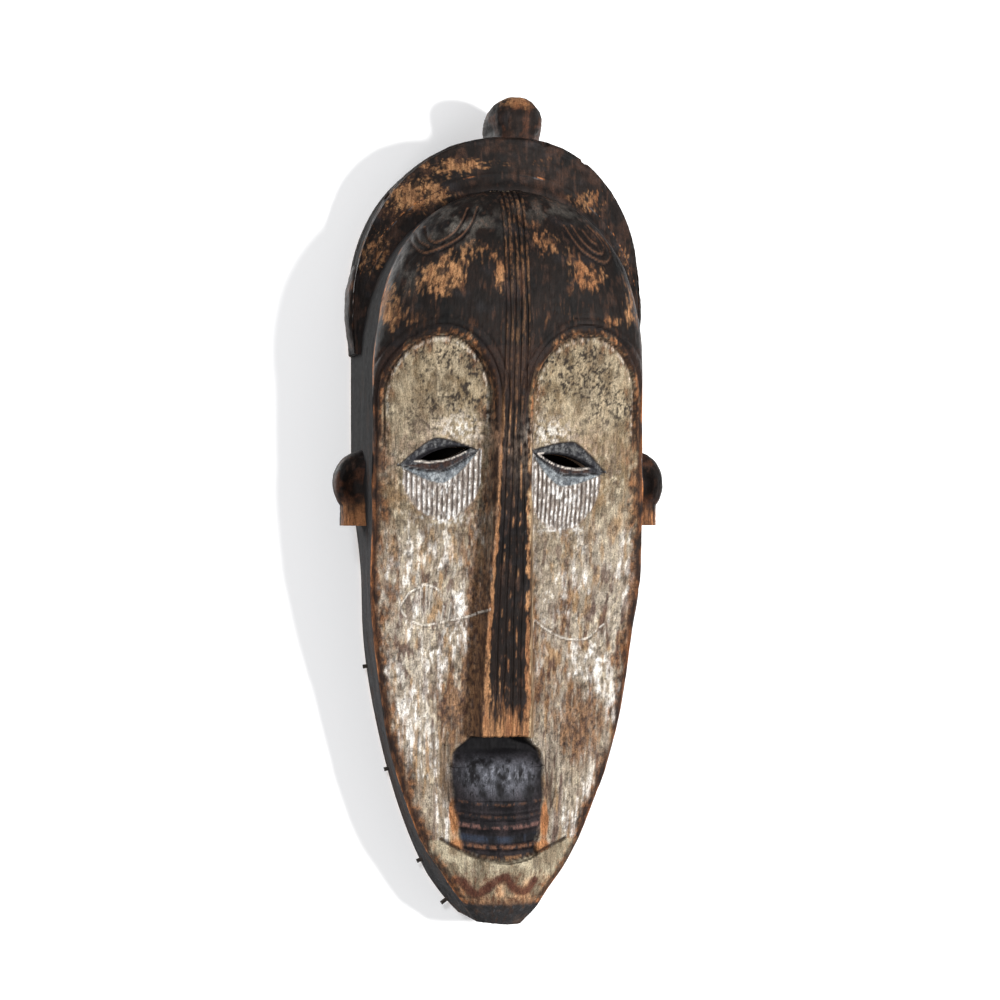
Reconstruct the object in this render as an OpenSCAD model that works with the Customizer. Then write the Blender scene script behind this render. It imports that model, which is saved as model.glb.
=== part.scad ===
// A tall carved wooden mask: a hollow face with two sunken cheek panels and a
// long nose, an arched headdress with three crests, two ears, the pegs that
// held a fringe, and a ring hanger let into the back of the head.
//
// Millimetres. +Z is up, the face looks along -Y and the flat back rim lies in
// the plane Y = 0, where the wall is. Heights are worked out from the bottom
// of the chin, and each part is then lowered so that the pin of the hanger
// ring is level with the origin.

/* [Face] */
// Height of the face, from the chin to the top of the forehead
face_h = 534; // [510:2:545]
// Width of the face over its side walls
face_w = 207; // [200:1:209]
// Depth of the side walls at the chin
chin_d = 64; // [58:1:68]
// Depth of the side walls at the temples
temple_d = 98; // [94:1:102]
// How far the forehead stands in front of the side walls
dome_d = 40; // [36:1:44]
// How far the cheek panels are sunk beside the nose
panel_d = 16; // [12:1:17]
// Thickness of the side walls at the back rim
wall_t = 19; // [17:0.5:22]

/* [Eyes] */
// Distance of the left eye slit from the middle
eye_left_x = 48; // [44:0.5:50]
// Distance of the right eye slit from the middle, carved a little nearer
eye_right_x = 38.5; // [36:0.5:42]
// Height of the left eye slit above the chin
eye_left_h = 345; // [340:1:350]
// Height of the right eye slit above the chin
eye_right_h = 340; // [336:1:345]
// Length of an eye slit
eye_len = 36; // [30:1:38]
// Height of an eye slit at its middle
eye_gap = 7.5; // [6:0.5:9]
// How far the outer ends of the eyes droop, in degrees
eye_tilt = 13; // [8:1:18]

/* [Headdress] */
// Width of the headdress
dress_w = 214; // [211:1:216]
// Height of the headdress above the chin
dress_h = 575; // [568:1:578]
// Depth of the front face of the headdress at the top
dress_d = 88; // [84:1:92]
// Depth of the front face of the headdress at the sides
dress_side_d = 44; // [40:1:48]
// Width of the top crest
crest_w = 43; // [38:1:46]
// How far the top crest stands to one side of the middle
crest_x = 7; // [0:1:8]
// Height of the top crest above the headdress
crest_rise = 31; // [26:1:34]

/* [Ears] */
// Width of the mask over its ears
ears_w = 244; // [236:1:248]
// Height of an ear
ear_tall = 56; // [48:1:60]
// Height of the middle of the ears above the chin
ear_h = 321; // [316:1:326]

/* [Hanger] */
// Thickness of the wire of the ring
ring_wire = 3; // [2.5:0.1:3]
// Inside width of the ring
ring_inside = 17; // [16:0.5:18]
// Thickness of the strap's metal
strap_t = 1.2; // [1:0.1:1.3]
// Width of the strap
strap_w = 14; // [12:0.5:14.5]

/* [Hidden] */
$fn = 64;
gap = 0.1;             // clearance of glued and seated parts, each side
seam = 0.45;           // glue line between the face and the headdress
brow_h = 418;          // where the arch of the forehead springs from the sides
cheek_h = 350;         // where the sides start to taper towards the chin
taper_h = 362;         // height over which the taper would close to a point
half_w = face_w / 2;
hang_h = face_h + 2;   // height of the hanger ring's pin above the chin

// The nose and the mouth
nose_end_h = 140;      // height of the cut end of the nose
mouth_half = 33;       // half width of the mouth block
mouth_x = -4;          // the mouth is carved a little off the middle
bevel_h = 18;          // height of the bevel under the chin

// The hollow
hollow_low = 45;
hollow_high = 478;

// The ears
ear_depth = 47;        // distance of the middle of the ears from the back
ear_thick = 32;        // size of the ears from front to back
ear_seat_x = 93;       // the flat seat that an ear is glued to
ear_out = ears_w / 2;

// The crests
crest_seat_h = dress_h - 11;
crest_front = 75;
crest_back = 8;
side_crest_seat = 103.5;
side_crest_out = 111;
side_crest_h = 451;
side_crest_r = 90;
side_crest_depth = 22;
side_crest_half = 15;

// The fringe pegs: their heights, their place and their size
peg_heights = [14, 45, 113, 189];
peg_depth = 6;
peg_r = 1.5;
peg_in = 12;
peg_out = 3;

// The dowels: their radii and half lengths
dowel_r = 4;
ear_dowel = [82, 106];
crest_dowel = [crest_seat_h - 22, crest_seat_h + 16];
side_dowel_r = 2.5;
side_dowel = [90, 108];
arch_dowels = [[40, 7], [90, 14], [140, 7]]; // place along the arch, half length
arch_dowel_depth = 34;

// The hanger
wire_r = ring_wire / 2;
ring_half = ring_inside / 2 + wire_r;
ring_leg = 6;
sleeve_in = wire_r + 0.08;
sleeve_r = sleeve_in + strap_t;
pocket_d = 7;
pocket_w = 30;
pocket_low = -48;
pocket_high = 25;
pin_y = -pocket_d + sleeve_r + 0.3;
strap_end = -40;
screw_zs = [-9, -31];
screw_r = 1.6;
screw_head_r = 3.1;
screw_head_t = 1.3;
screw_deep = 16;

// ---------------------------------------------------------------- functions

function clamp(t) = min(1, max(0, t));
// Goes smoothly from 0 at a to 1 at b
function ease(a, b, v) = let (t = clamp((v - a) / (b - a))) t * t * (3 - 2 * t);
function mix(a, b, t) = a + (b - a) * t;
// A quarter of a superellipse: 1 at t = 0 and 0 at t = 1
function arch(t, p, q) = pow(max(0, 1 - pow(abs(t), p)), 1 / q);
function arc_point(r, a) = [r * cos(a), r * sin(a)];

// Half width of the face at the back rim, at height h above the chin
function rim_x(h) =
  h > brow_h ? half_w * arch((h - brow_h) / (face_h - brow_h), 2.2, 2.2)
  : half_w * arch(max(0, cheek_h - h) / taper_h, 2.1, 1.75);
// Half width at the front edge of the side walls: they lean in at the temples,
// stand square at the cheeks and are cut away at the chin
function edge_x(h) =
  rim_x(h) * (1.02 - 0.02 * ease(110, 200, h) - 0.078 * ease(230, 350, h) - 0.28 * (1 - ease(0, 70, h)));
// Depth of that edge
function edge_y(h) =
  mix(chin_d, temple_d, ease(120, 330, h)) - (temple_d - dress_d) * ease(440, face_h, h)
  - 16 * (1 - ease(-2, bevel_h + 1, h));
// How far the middle stands in front of that edge, before carving
function crown(h) =
  h > 430 ? dress_d + (temple_d - dress_d + dome_d) * arch((h - 430) / (face_h - 430), 2.3, 1.8) - edge_y(h)
  : mix(20, dome_d, ease(250, 430, h)) * mix(0.5, 1, ease(0, 60, h));
// The uncarved front: flat arcs on the face, a dome with soft sides above
function front(x, h) =
  let (u = clamp(abs(x) / max(1, edge_x(h))))
  edge_y(h) + crown(h) * mix(1 - u * u, arch(u, 2.4, 2), ease(370, 440, h));

function nose_half(h) = 9.5 + 7 * ease(370, 140, h);
// The cheek panels: sunk beside the nose, level at the outer edge, arched above
function panel(x, h) =
  let (a = abs(x), n = nose_half(h),
       mid = (n + edge_x(h)) / 2, half = (edge_x(h) - n) / 2,
       e = h > 376 ? norm([(a - mid) / half, (h - 376) / 50]) : 0,
       flank = ease(n, n + 7, a),
       fade = 1 - 0.92 * ease(n + 10, edge_x(h), a),
       deep = mix(panel_d, 9, ease(320, 400, h)) * mix(0.3, 1, ease(40, 150, h)))
  deep * flank * fade * (1 - ease(0.88, 1, e)) * ease(20, 60, h);
// The mouth: a scoop under the nose, the block, and steps down to the chin
function mouth(h) =
  h > 124 ? mix(13, 18, ease(124, 134, h)) * (1 - ease(nose_end_h - 3, nose_end_h, h))
  : h > 94 ? mix(6, 13, ease(94, 124, h))
  : mix(13, 7, ease(46, 94, h)) * ease(34, 50, h);
function mouth_here(x, h) =
  (1 - ease(mouth_half - 2, mouth_half + 3, abs(x - mouth_x))) * (1 - ease(nose_end_h, nose_end_h + 2, h))
  * ease(36, 44, h);
function face_y(x, h) =
  let (m = mouth_here(x, h))
  front(x, h) - mix(panel(x, h), mouth(h), m);

// The hollow behind the face
function hollow_end(h) =
  arch(max(0, h - 300) / (hollow_high - 300), 3, 2.2)
  * arch(max(0, 120 - h) / (120 - hollow_low), 2, 2);
function hollow_x(h) = (rim_x(h) - wall_t) * hollow_end(h);
function hollow_y(h) =
  (edge_y(h) + 0.2 * crown(h) - 14 - 8 * (1 - ease(110, 160, h))) * hollow_end(h);

// A point of the arch where face and headdress meet, at t from 0 to 1 and on to 2
function half_turn(t) = t > 1 ? 2 - t : t;
function side(t) = t > 1 ? -1 : 1;
function inner_arch(t) =
  let (a = 90 * half_turn(t), p = 2 / 2.2)
  [side(t) * (half_w + seam) * pow(cos(a), p),
   brow_h + (face_h + seam - brow_h) * pow(sin(a), p)];
spring_h = 455; // where the outer arch turns from a straight side into a curve
function outer_arch(t) =
  let (b = -22 + 112 * half_turn(t), p = 2 / 2.2)
  b < 0 ? [side(t) * mix(dress_w / 2, half_w + 2, pow(-b / 22, 2)), mix(spring_h, brow_h + 1, -b / 22)]
  : [side(t) * dress_w / 2 * pow(cos(b), p), spring_h + (dress_h - spring_h) * pow(sin(b), p)];
// The front face of the headdress falls back towards its sides
function dress_y(x) = dress_d - (dress_d - dress_side_d) * pow(min(1, abs(x) / half_w), 2);
function across(t, k) = mix(inner_arch(t), outer_arch(t), k);

// ---------------------------------------------------------------- helpers

// A closed skin over rings with the same number of points, with flat ends
module loft(rings) {
  n = len(rings[0]);
  k = len(rings);
  middle = [for (r = [rings[0], rings[k - 1]]) [for (c = [0 : 2]) [for (p = r) p[c]] * [for (p = r) 1] / n]];
  points = concat([for (r = rings, p = r) p], middle);
  sides = [
    for (j = [0 : k - 2], i = [0 : n - 1])
      let (a = j * n + i, b = j * n + (i + 1) % n)
      each [[a, a + n, b], [b, a + n, b + n]]
  ];
  ends = [
    for (i = [0 : n - 1])
      let (m = (i + 1) % n)
      each [[k * n, i, m], [k * n + 1, (k - 1) * n + m, (k - 1) * n + i]]
  ];
  polyhedron(points = points, faces = concat(sides, ends), convexity = 10);
}
// Drops a part from chin heights to the frame of the hanger
module hung() { translate([0, 0, -hang_h]) children(); }
// A cylinder along X, Y or Z between two places
module along_x(x0, x1, r) { translate([x0, 0, 0]) rotate([0, 90, 0]) cylinder(h = x1 - x0, r = r); }
module along_z(z0, z1, r) { translate([0, 0, z0]) cylinder(h = z1 - z0, r = r); }
// Turns an outline in X and Z into a slab from depth d0 to depth d1
module slab(d0, d1) { translate([0, -d0, 0]) rotate([90, 0, 0]) linear_extrude(d1 - d0) children(); }

// ---------------------------------------------------------------- face shell

// Columns on one side of the front: the nose and its flank, the mouth's edge,
// then evenly out to the edge of the face
function columns(h) =
  let (n = nose_half(h), e = edge_x(h), k = min(1, e / 44))
  concat(
    [for (x = [n * 0.5, n, n + 1.75, n + 3.5, n + 5.25, n + 7, 27.5, 30, 32.5, 35]) x * k],
    [for (i = [1 : 10]) mix(35 * k, e, 1 - pow(1 - i / 10, 1.25))]
  );
wall_steps = [0, 0.5];
function face_ring(h) =
  let (r = rim_x(h), e = edge_x(h), d = edge_y(h), c = columns(h), m = len(c) - 1)
  [
    for (t = wall_steps) [-mix(r, e, t), -d * t, h],
    for (i = [m : -1 : 0]) [-c[i], -face_y(c[i], h), h],
    [0, -face_y(0, h), h],
    for (x = c) [x, -face_y(x, h), h],
    for (j = [len(wall_steps) - 1 : -1 : 0]) [mix(r, e, wall_steps[j]), -d * wall_steps[j], h]
  ];
face_heights = concat(
  [0, 7], [for (h = [bevel_h : 9 : 122]) h],
  [128, nose_end_h - 3, nose_end_h, nose_end_h + 2],
  [for (h = [152 : 13 : brow_h - 2]) h],
  [for (a = [4 : 6 : 82]) brow_h + (face_h - brow_h) * sin(a)], [face_h - 0.5]
);

module hollow() {
  n = 11;
  heights = concat(
    [hollow_low + 0.5], [for (a = [80 : -16 : 16]) 120 - (120 - hollow_low) * sin(a)],
    [for (h = [120 : 30 : 300]) h],
    [for (a = [12 : 11 : 78]) 300 + (hollow_high - 300) * sin(a)], [hollow_high - 0.5]
  );
  loft([
    for (h = heights)
      concat(
        [[-hollow_x(h), 1, h]],
        [for (i = [-n : n]) let (v = sin(90 * i / n))
          [hollow_x(h) * v, -hollow_y(h) * arch(v, 3, 2.2), h]],
        [[hollow_x(h), 1, h]]
      )
  ]);
}
module eye_slit() {
  r = (pow(eye_len, 2) + pow(eye_gap, 2)) / 4 / eye_gap;
  slab(0, 200) intersection() {
    translate([0, r - eye_gap / 2]) circle(r, $fn = 180);
    translate([0, eye_gap / 2 - r]) circle(r, $fn = 180);
  }
}
module eye_slits() {
  translate([-eye_left_x, 0, eye_left_h]) rotate([0, -eye_tilt, 0]) eye_slit();
  translate([eye_right_x, 0, eye_right_h]) rotate([0, eye_tilt, 0]) eye_slit();
}

module face_shell() {
  color("tan") hung() difference() {
    loft([for (h = face_heights) face_ring(h)]);
    hollow();
    eye_slits();
    for (s = [-1, 1]) ear_seat(s);
    dowel_holes();
    pegs(peg_r + gap, peg_in + gap, 5);
    hanger_pocket();
    hanger_screw_holes();
  }
}

// ---------------------------------------------------------------- headdress

module headdress() {
  // places across the band, from the inner face to the outer one, and their
  // depths as a share of the front face's
  section = [
    [0, 0], [0, 1], [0.35, 0.95], [0.7, 0.94], [0.95, 0.93],
    [1, 0.88], [1, 0.45], [0.95, 0.15], [0.85, 0]
  ];
  steps = 24;
  color("saddlebrown") hung() difference() {
    loft([
      for (i = [0 : 2 * steps])
        [for (p = section) let (q = across(i / steps, p[0])) [q[0], -p[1] * dress_y(q[0]), q[1]]]
    ]);
    top_crest_body(0.05);
    for (s = [-1, 1]) side_crest_body(s, 0.05);
    dowel_holes();
    hanger_pocket();
  }
}

// ---------------------------------------------------------------- crests

// A fin with a round top, highest in front and falling away behind
module top_crest_body(more) {
  r = crest_w / 2 - 1;
  top = dress_h + crest_rise;
  translate([crest_x, 0, 0]) intersection() {
    slab(crest_back - more, crest_front + more) polygon(concat(
      [[-crest_w / 2 - more, crest_seat_h - more]],
      [for (a = [180 : -10 : 0]) [0, top - r] + arc_point(r, a)],
      [[crest_w / 2 + more, crest_seat_h - more]]
    ));
    rotate([90, 0, 90]) linear_extrude(2 * crest_w, center = true) {
      polygon(concat(
        [[-crest_front - more, crest_seat_h - more]],
        [for (a = [180 : -15 : 90]) [-crest_front + 14, top - 14] + arc_point(14 + more, a)],
        [for (t = [0.25 : 0.25 : 1])
          [mix(-crest_front + 14, -crest_back, t), top - (top - dress_h + 1) * t * t]],
        [[-crest_back + more, crest_seat_h - more]]
      ));
    }
  }
}
module top_crest() {
  color("sienna") hung() difference() {
    top_crest_body(0);
    dowel_holes();
  }
}

// A shallow lobe on the side of the headdress
module side_crest_body(s, more) {
  intersection() {
    translate([s * (side_crest_out - side_crest_r), 0, side_crest_h]) rotate([90, 0, 0])
      cylinder(h = 200, r = side_crest_r + more, center = true, $fn = 180);
    translate([s * (side_crest_seat + 50 - more), -side_crest_depth, side_crest_h])
      cube([100, 2 * (side_crest_half + more), 80], center = true);
    translate([0, -side_crest_depth, side_crest_h]) rotate([0, 90, 0])
      cylinder(h = 300, r = 34 + more, center = true, $fn = 120);
  }
}
module side_crest(s) {
  color("saddlebrown") hung() difference() {
    side_crest_body(s, 0);
    dowel_holes();
  }
}

// ---------------------------------------------------------------- ears

// The ear seen from the side of the head, as an outline in depth and height
module ear_side(more) {
  r = ear_thick / 2;
  hull() for (z = [ear_tall / 2 - r, -ear_tall / 2 + 8])
    translate([0, z]) circle((z > 0 ? r : 8) + more, $fn = 48);
  translate([-r - more, -ear_tall / 2 + 8]) square([2 * (r + more), ear_tall / 2 - 8]);
}
module ear_seat(s) {
  translate([s * ear_seat_x, -ear_depth, ear_h]) rotate([0, 0, s > 0 ? 0 : 180]) rotate([90, 0, 90])
    linear_extrude(60) ear_side(0.05);
}
// A half round ear with a flat foot and a hollow in front
module ear(s) {
  color("peru") hung() difference() {
    intersection() {
      translate([s * ear_seat_x, -ear_depth, ear_h]) rotate([0, 0, s > 0 ? 0 : 180]) rotate([90, 0, 90])
        linear_extrude(60) ear_side(0);
      slab(0, 100) polygon([
        for (p = concat(
          [[ear_seat_x, ear_tall / 2]],
          [for (a = [80 : -10 : -40]) [ear_out - 25, 3] + [25 * cos(a), (ear_tall / 2 - 3) * sin(a)]],
          [[ear_out - 5, -ear_tall / 2], [ear_seat_x, -ear_tall / 2]]
        )) [s * p[0], ear_h + p[1]]
      ]);
    }
    translate([s * (ear_seat_x + 12), -ear_depth - ear_thick / 2 - 6, ear_h + 2]) sphere(14);
    dowel_holes();
  }
}

// ---------------------------------------------------------------- dowels and pegs

module arch_dowel(d, r, half) {
  a = [inner_arch(d / 90), inner_arch(d / 90 + 0.01), inner_arch(d / 90 - 0.01)];
  run = a[1] - a[2];
  turn = atan2(run[1], run[0]) - 90;
  translate([a[0][0], -arch_dowel_depth, a[0][1]]) rotate([0, -turn, 0])
    translate([-half, 0, 0]) rotate([0, 90, 0]) cylinder(h = 2 * half, r = r);
}
module headdress_dowel_set(more) {
  for (d = arch_dowels) arch_dowel(d[0], dowel_r + more, d[1] + 10 * more);
}
module ear_dowel_set(more) {
  for (s = [-1, 1]) translate([0, -ear_depth, ear_h]) mirror([s < 0 ? 1 : 0, 0, 0])
    along_x(ear_dowel[0] - 10 * more, ear_dowel[1] + 10 * more, dowel_r + more);
}
module crest_dowel_set(more) {
  translate([crest_x, -arch_dowel_depth - 14, 0])
    along_z(crest_dowel[0] - 10 * more, crest_dowel[1] + 10 * more, dowel_r + more);
}
module side_crest_dowel_set(more) {
  for (s = [-1, 1]) translate([0, -side_crest_depth, side_crest_h]) mirror([s < 0 ? 1 : 0, 0, 0])
    along_x(side_dowel[0] - 10 * more, side_dowel[1] + 10 * more, side_dowel_r + more);
}
module dowel_holes() {
  headdress_dowel_set(gap);
  ear_dowel_set(gap);
  crest_dowel_set(gap);
  side_crest_dowel_set(gap);
}
module ear_dowels() { color("burlywood") hung() ear_dowel_set(0); }
module crest_dowel() { color("burlywood") hung() crest_dowel_set(0); }
module side_crest_dowels() { color("burlywood") hung() side_crest_dowel_set(0); }
module headdress_dowels() { color("burlywood") hung() headdress_dowel_set(0); }

// Pegs driven square into the side walls, close to the back rim
module pegs(r, inward, outward) {
  for (s = [-1, 1], h = peg_heights) {
    lean = atan2(rim_x(h + 2) - rim_x(h - 2), 4);
    translate([s * rim_x(h), -peg_depth, h]) rotate([0, s > 0 ? lean : 180 - lean, 0])
      along_x(-inward, outward, r);
  }
}
module fringe_pegs() { color("black") hung() pegs(peg_r, peg_in, peg_out); }

// ---------------------------------------------------------------- hanger

module hanger_pocket() {
  translate([-pocket_w / 2, -pocket_d, hang_h + pocket_low])
    cube([pocket_w, pocket_d + 2, pocket_high - pocket_low]);
}
module hanger_screw_holes() {
  for (z = screw_zs) translate([0, -pocket_d + 1, hang_h + z]) rotate([90, 0, 0])
    cylinder(h = screw_deep + 1, r = screw_r + 0.02);
}
// A strap folded round the pin of the ring and screwed to the floor of the pocket
module hanger_strap() {
  color("silver") difference() {
    union() {
      translate([0, pin_y, 0]) rotate([0, 90, 0]) difference() {
        cylinder(h = strap_w, r = sleeve_r, center = true);
        cylinder(h = strap_w + 1, r = sleeve_in, center = true);
      }
      translate([-strap_w / 2, -pocket_d, strap_end + strap_w / 2])
        cube([strap_w, strap_t, -strap_end - strap_w / 2]);
      translate([0, -pocket_d, strap_end + strap_w / 2]) rotate([-90, 0, 0])
        cylinder(h = strap_t, r = strap_w / 2);
    }
    for (z = screw_zs) translate([0, -pocket_d - 1, z]) rotate([-90, 0, 0])
      cylinder(h = strap_t + 2, r = screw_r + 0.15);
  }
}
module hanger_screws() {
  color("gold") for (z = screw_zs) translate([0, -pocket_d + strap_t, z]) {
    difference() {
      rotate([-90, 0, 0]) cylinder(h = screw_head_t, r = screw_head_r);
      translate([-4, screw_head_t - 0.6, -0.5]) cube([8, 1, 1]);
    }
    rotate([90, 0, 0]) cylinder(h = screw_deep - 4, r = screw_r);
    translate([0, -screw_deep + 4, 0]) rotate([90, 0, 0]) cylinder(h = 3.5, r1 = screw_r, r2 = 0.2);
  }
}
// A ring of round wire, straight where it turns in the strap, hanging down
module hanger_ring() {
  color("silver") translate([0, pin_y, 0]) {
    translate([-ring_half, 0, 0]) rotate([0, 90, 0]) cylinder(h = 2 * ring_half, r = wire_r);
    for (s = [-1, 1]) translate([s * ring_half, 0, 0]) {
      sphere(wire_r);
      rotate([180, 0, 0]) cylinder(h = ring_leg, r = wire_r);
    }
    translate([0, 0, -ring_leg]) rotate([-90, 0, 0]) rotate_extrude(angle = 180)
      translate([ring_half, 0]) circle(wire_r);
  }
}

face_shell();
headdress();
top_crest();
side_crest(-1);  // side_crest_left
side_crest(1);  // side_crest_right
ear(-1);  // ear_left
ear(1);  // ear_right
ear_dowels();
crest_dowel();
side_crest_dowels();
headdress_dowels();
fringe_pegs();
hanger_strap();
hanger_screws();
hanger_ring();
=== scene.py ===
"""A tall carved wooden mask on a white wall: carved relief, worn black paint and white clay."""
import math

import bpy
import numpy as np
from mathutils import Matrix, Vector


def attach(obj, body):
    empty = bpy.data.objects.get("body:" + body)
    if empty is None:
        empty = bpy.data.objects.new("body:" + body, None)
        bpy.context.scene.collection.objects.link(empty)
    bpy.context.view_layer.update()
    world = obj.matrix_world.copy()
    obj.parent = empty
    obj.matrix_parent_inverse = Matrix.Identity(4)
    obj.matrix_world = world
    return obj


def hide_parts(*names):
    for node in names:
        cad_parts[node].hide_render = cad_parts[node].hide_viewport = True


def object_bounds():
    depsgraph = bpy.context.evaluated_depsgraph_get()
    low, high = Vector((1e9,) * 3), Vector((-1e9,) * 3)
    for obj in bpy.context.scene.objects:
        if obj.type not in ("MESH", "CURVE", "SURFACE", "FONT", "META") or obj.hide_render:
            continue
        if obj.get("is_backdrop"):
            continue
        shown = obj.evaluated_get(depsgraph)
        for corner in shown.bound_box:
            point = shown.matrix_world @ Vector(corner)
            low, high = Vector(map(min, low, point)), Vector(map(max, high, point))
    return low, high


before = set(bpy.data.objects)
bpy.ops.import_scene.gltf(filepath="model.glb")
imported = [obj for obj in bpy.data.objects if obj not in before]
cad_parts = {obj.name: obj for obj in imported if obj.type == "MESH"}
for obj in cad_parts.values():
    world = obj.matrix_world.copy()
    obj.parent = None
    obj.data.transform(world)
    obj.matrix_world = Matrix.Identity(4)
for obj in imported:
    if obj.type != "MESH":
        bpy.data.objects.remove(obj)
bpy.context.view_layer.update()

# ------------------------------------------------------------------ sizes, in millimetres
# Heights h are above the chin, depths d are in front of the back rim, x is across.
HANG_H = 536.0
FACE_H = 534.0
HALF_W = 103.5
CHIN_D = 64.0        # depth of the front edge at the chin, and at the temples
TEMPLE_D = 98.0
DOME_D = 40.0        # how far the forehead stands in front of its edge
DRESS_D = 88.0       # depth of the headdress's front at the top, and at the sides
DRESS_SIDE_D = 44.0
DRESS_H = 575.0
DRESS_W = 214.0
SPRING_H = 455.0     # where the headdress starts to curve in
ARCH_MIDDLE_H = 440.0
BROW_H = 418.0       # the outline narrows above this, and below CHEEK_H
CHEEK_H = 350.0
TAPER_H = 362.0
BEVEL_H = 18.0
NOSE_END = 140.0
MOUTH_X = -4.0
MOUTH_HALF = 33.0
WALL_T = 19.0
# The hollow: straight from HOLLOW_LOW to HOLLOW_HIGH, rounded past them.
HOLLOW_LOW = 120.0
HOLLOW_DROP = 75.0
HOLLOW_HIGH = 300.0
HOLLOW_RISE = 178.0
# The hanger's pocket in the back.
POCKET_HALF = 15.0
POCKET_D = 7.0
POCKET_LOW = 488.0
POCKET_HIGH = 561.0


def ease(a, b, v):
    t = np.clip((v - a) / (b - a), 0, 1)
    return t * t * (3 - 2 * t)


def mix(a, b, t):
    return a + (b - a) * t


def arch(t, p, q):
    return np.maximum(0, 1 - np.abs(t) ** p) ** (1 / q)


def rim_x(h):
    above = arch(np.maximum(h - BROW_H, 0) / (FACE_H - BROW_H), 2.2, 2.2)
    below = arch(np.maximum(0, CHEEK_H - h) / TAPER_H, 2.1, 1.75)
    return HALF_W * np.where(h > BROW_H, above, below)


def edge_x(h):
    chin = 0.28 * (1 - ease(0, 70, h))
    return rim_x(h) * (1.02 - 0.02 * ease(110, 200, h) - 0.078 * ease(230, 350, h) - chin)


def edge_d(h):
    low = 16 * (1 - ease(-2, BEVEL_H + 1, h))
    return mix(CHIN_D, TEMPLE_D, ease(120, 330, h)) - (TEMPLE_D - DRESS_D) * ease(440, FACE_H, h) - low


def crown(h):
    dome = DRESS_D + (TEMPLE_D - DRESS_D + DOME_D) * arch(np.maximum(h - 430, 0) / (FACE_H - 430), 2.3, 1.8)
    below = mix(20, DOME_D, ease(250, 430, h)) * mix(0.5, 1, ease(0, 60, h))
    return np.where(h > 430, dome - edge_d(h), below)


def front(x, h):
    u = np.clip(np.abs(x) / np.maximum(1, edge_x(h)), 0, 1)
    return edge_d(h) + crown(h) * mix(1 - u * u, arch(u, 2.4, 2), ease(370, 440, h))


def nose_half(h):
    return 9.5 + 7 * ease(370, 140, h)


def hollow_end(h):
    high = arch(np.maximum(0, h - HOLLOW_HIGH) / HOLLOW_RISE, 3, 2.2)
    return high * arch(np.maximum(0, HOLLOW_LOW - h) / HOLLOW_DROP, 2, 2)


def hollow_x(h):
    return (rim_x(h) - WALL_T) * hollow_end(h)


def hollow_d(h):
    return (edge_d(h) + 0.2 * crown(h) - 14 - 8 * (1 - ease(110, 160, h))) * hollow_end(h)


def dress_d(x):
    return DRESS_D - (DRESS_D - DRESS_SIDE_D) * np.minimum(1, np.abs(x) / HALF_W) ** 2


# ------------------------------------------------------------------ noise
LATTICE = np.random.RandomState(11).rand(64, 64, 64).astype(np.float32)


def noise(x, y, z, sx, sy, sz, seed):
    """Smooth value noise between 0 and 1, with a cell of sx by sy by sz millimetres."""
    q = [x / sx + seed * 7.31, y / sy + seed * 3.77, z / sz + seed * 5.13]
    i = [np.floor(c).astype(np.int64) for c in q]
    f = [c - k for c, k in zip(q, i)]
    f = [c * c * (3 - 2 * c) for c in f]
    a = [k & 63 for k in i]
    b = [(k + 1) & 63 for k in i]
    out = 0
    for cx, wx in ((a[0], 1 - f[0]), (b[0], f[0])):
        for cy, wy in ((a[1], 1 - f[1]), (b[1], f[1])):
            for cz, wz in ((a[2], 1 - f[2]), (b[2], f[2])):
                out = out + LATTICE[cx, cy, cz] * wx * wy * wz
    return out


def fbm(x, y, z, sx, sy, sz, seed, octaves):
    """Several octaves of noise, each half the size of the last."""
    total = 0
    weight = 0
    amp = 1.0
    for k in range(octaves):
        s = 0.5**k
        total = total + amp * noise(x, y, z, sx * s, sy * s, sz * s, seed + 13 * k)
        weight += amp
        amp *= 0.55
    return total / weight


def blob(x, h, cx, ch, rx, rh):
    return np.exp(-(((x - cx) / rx) ** 2) - ((h - ch) / rh) ** 2)


def spots(x, h, table):
    """The sum of soft spots, each given by its middle, its size and its strength."""
    return sum(s * blob(x, h, cx, ch, rx, rh) for cx, ch, rx, rh, s in table)


# ------------------------------------------------------------------ lines cut into the wood
def smooth_line(points):
    """A Catmull-Rom curve through a few points."""
    p = np.array(points, float)
    p = np.vstack([2 * p[0] - p[1], p, 2 * p[-1] - p[-2]])
    out = []
    for k in range(1, len(p) - 2):
        for t in np.linspace(0, 1, 8, endpoint=False):
            a, b, c, d = p[k - 1], p[k], p[k + 1], p[k + 2]
            square = (2 * a - 5 * b + 4 * c - d) * t * t
            cube = (3 * b - a - 3 * c + d) * t**3
            out.append(0.5 * (2 * b + (c - a) * t + square + cube))
    out.append(p[-2])
    return np.array(out)


def line_distance(x, h, points, reach):
    """Distance in millimetres from each point to a line; far points just get reach."""
    line = smooth_line(points)
    dist = np.full(x.shape, float(reach))
    lo, hi = line.min(0) - reach, line.max(0) + reach
    near = (x > lo[0]) & (x < hi[0]) & (h > lo[1]) & (h < hi[1])
    px, ph = x[near], h[near]
    best = np.full(px.shape, float(reach))
    for a, b in zip(line[:-1], line[1:]):
        ab = b - a
        t = np.clip(((px - a[0]) * ab[0] + (ph - a[1]) * ab[1]) / max(1e-9, ab @ ab), 0, 1)
        best = np.minimum(best, np.hypot(px - a[0] - t * ab[0], ph - a[1] - t * ab[1]))
    dist[near] = best
    return dist


def groove(dist, width):
    """1 in the middle of a cut line, 0 past half its width."""
    return np.clip(1 - (dist / (width / 2)) ** 2, 0, 1)


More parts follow.
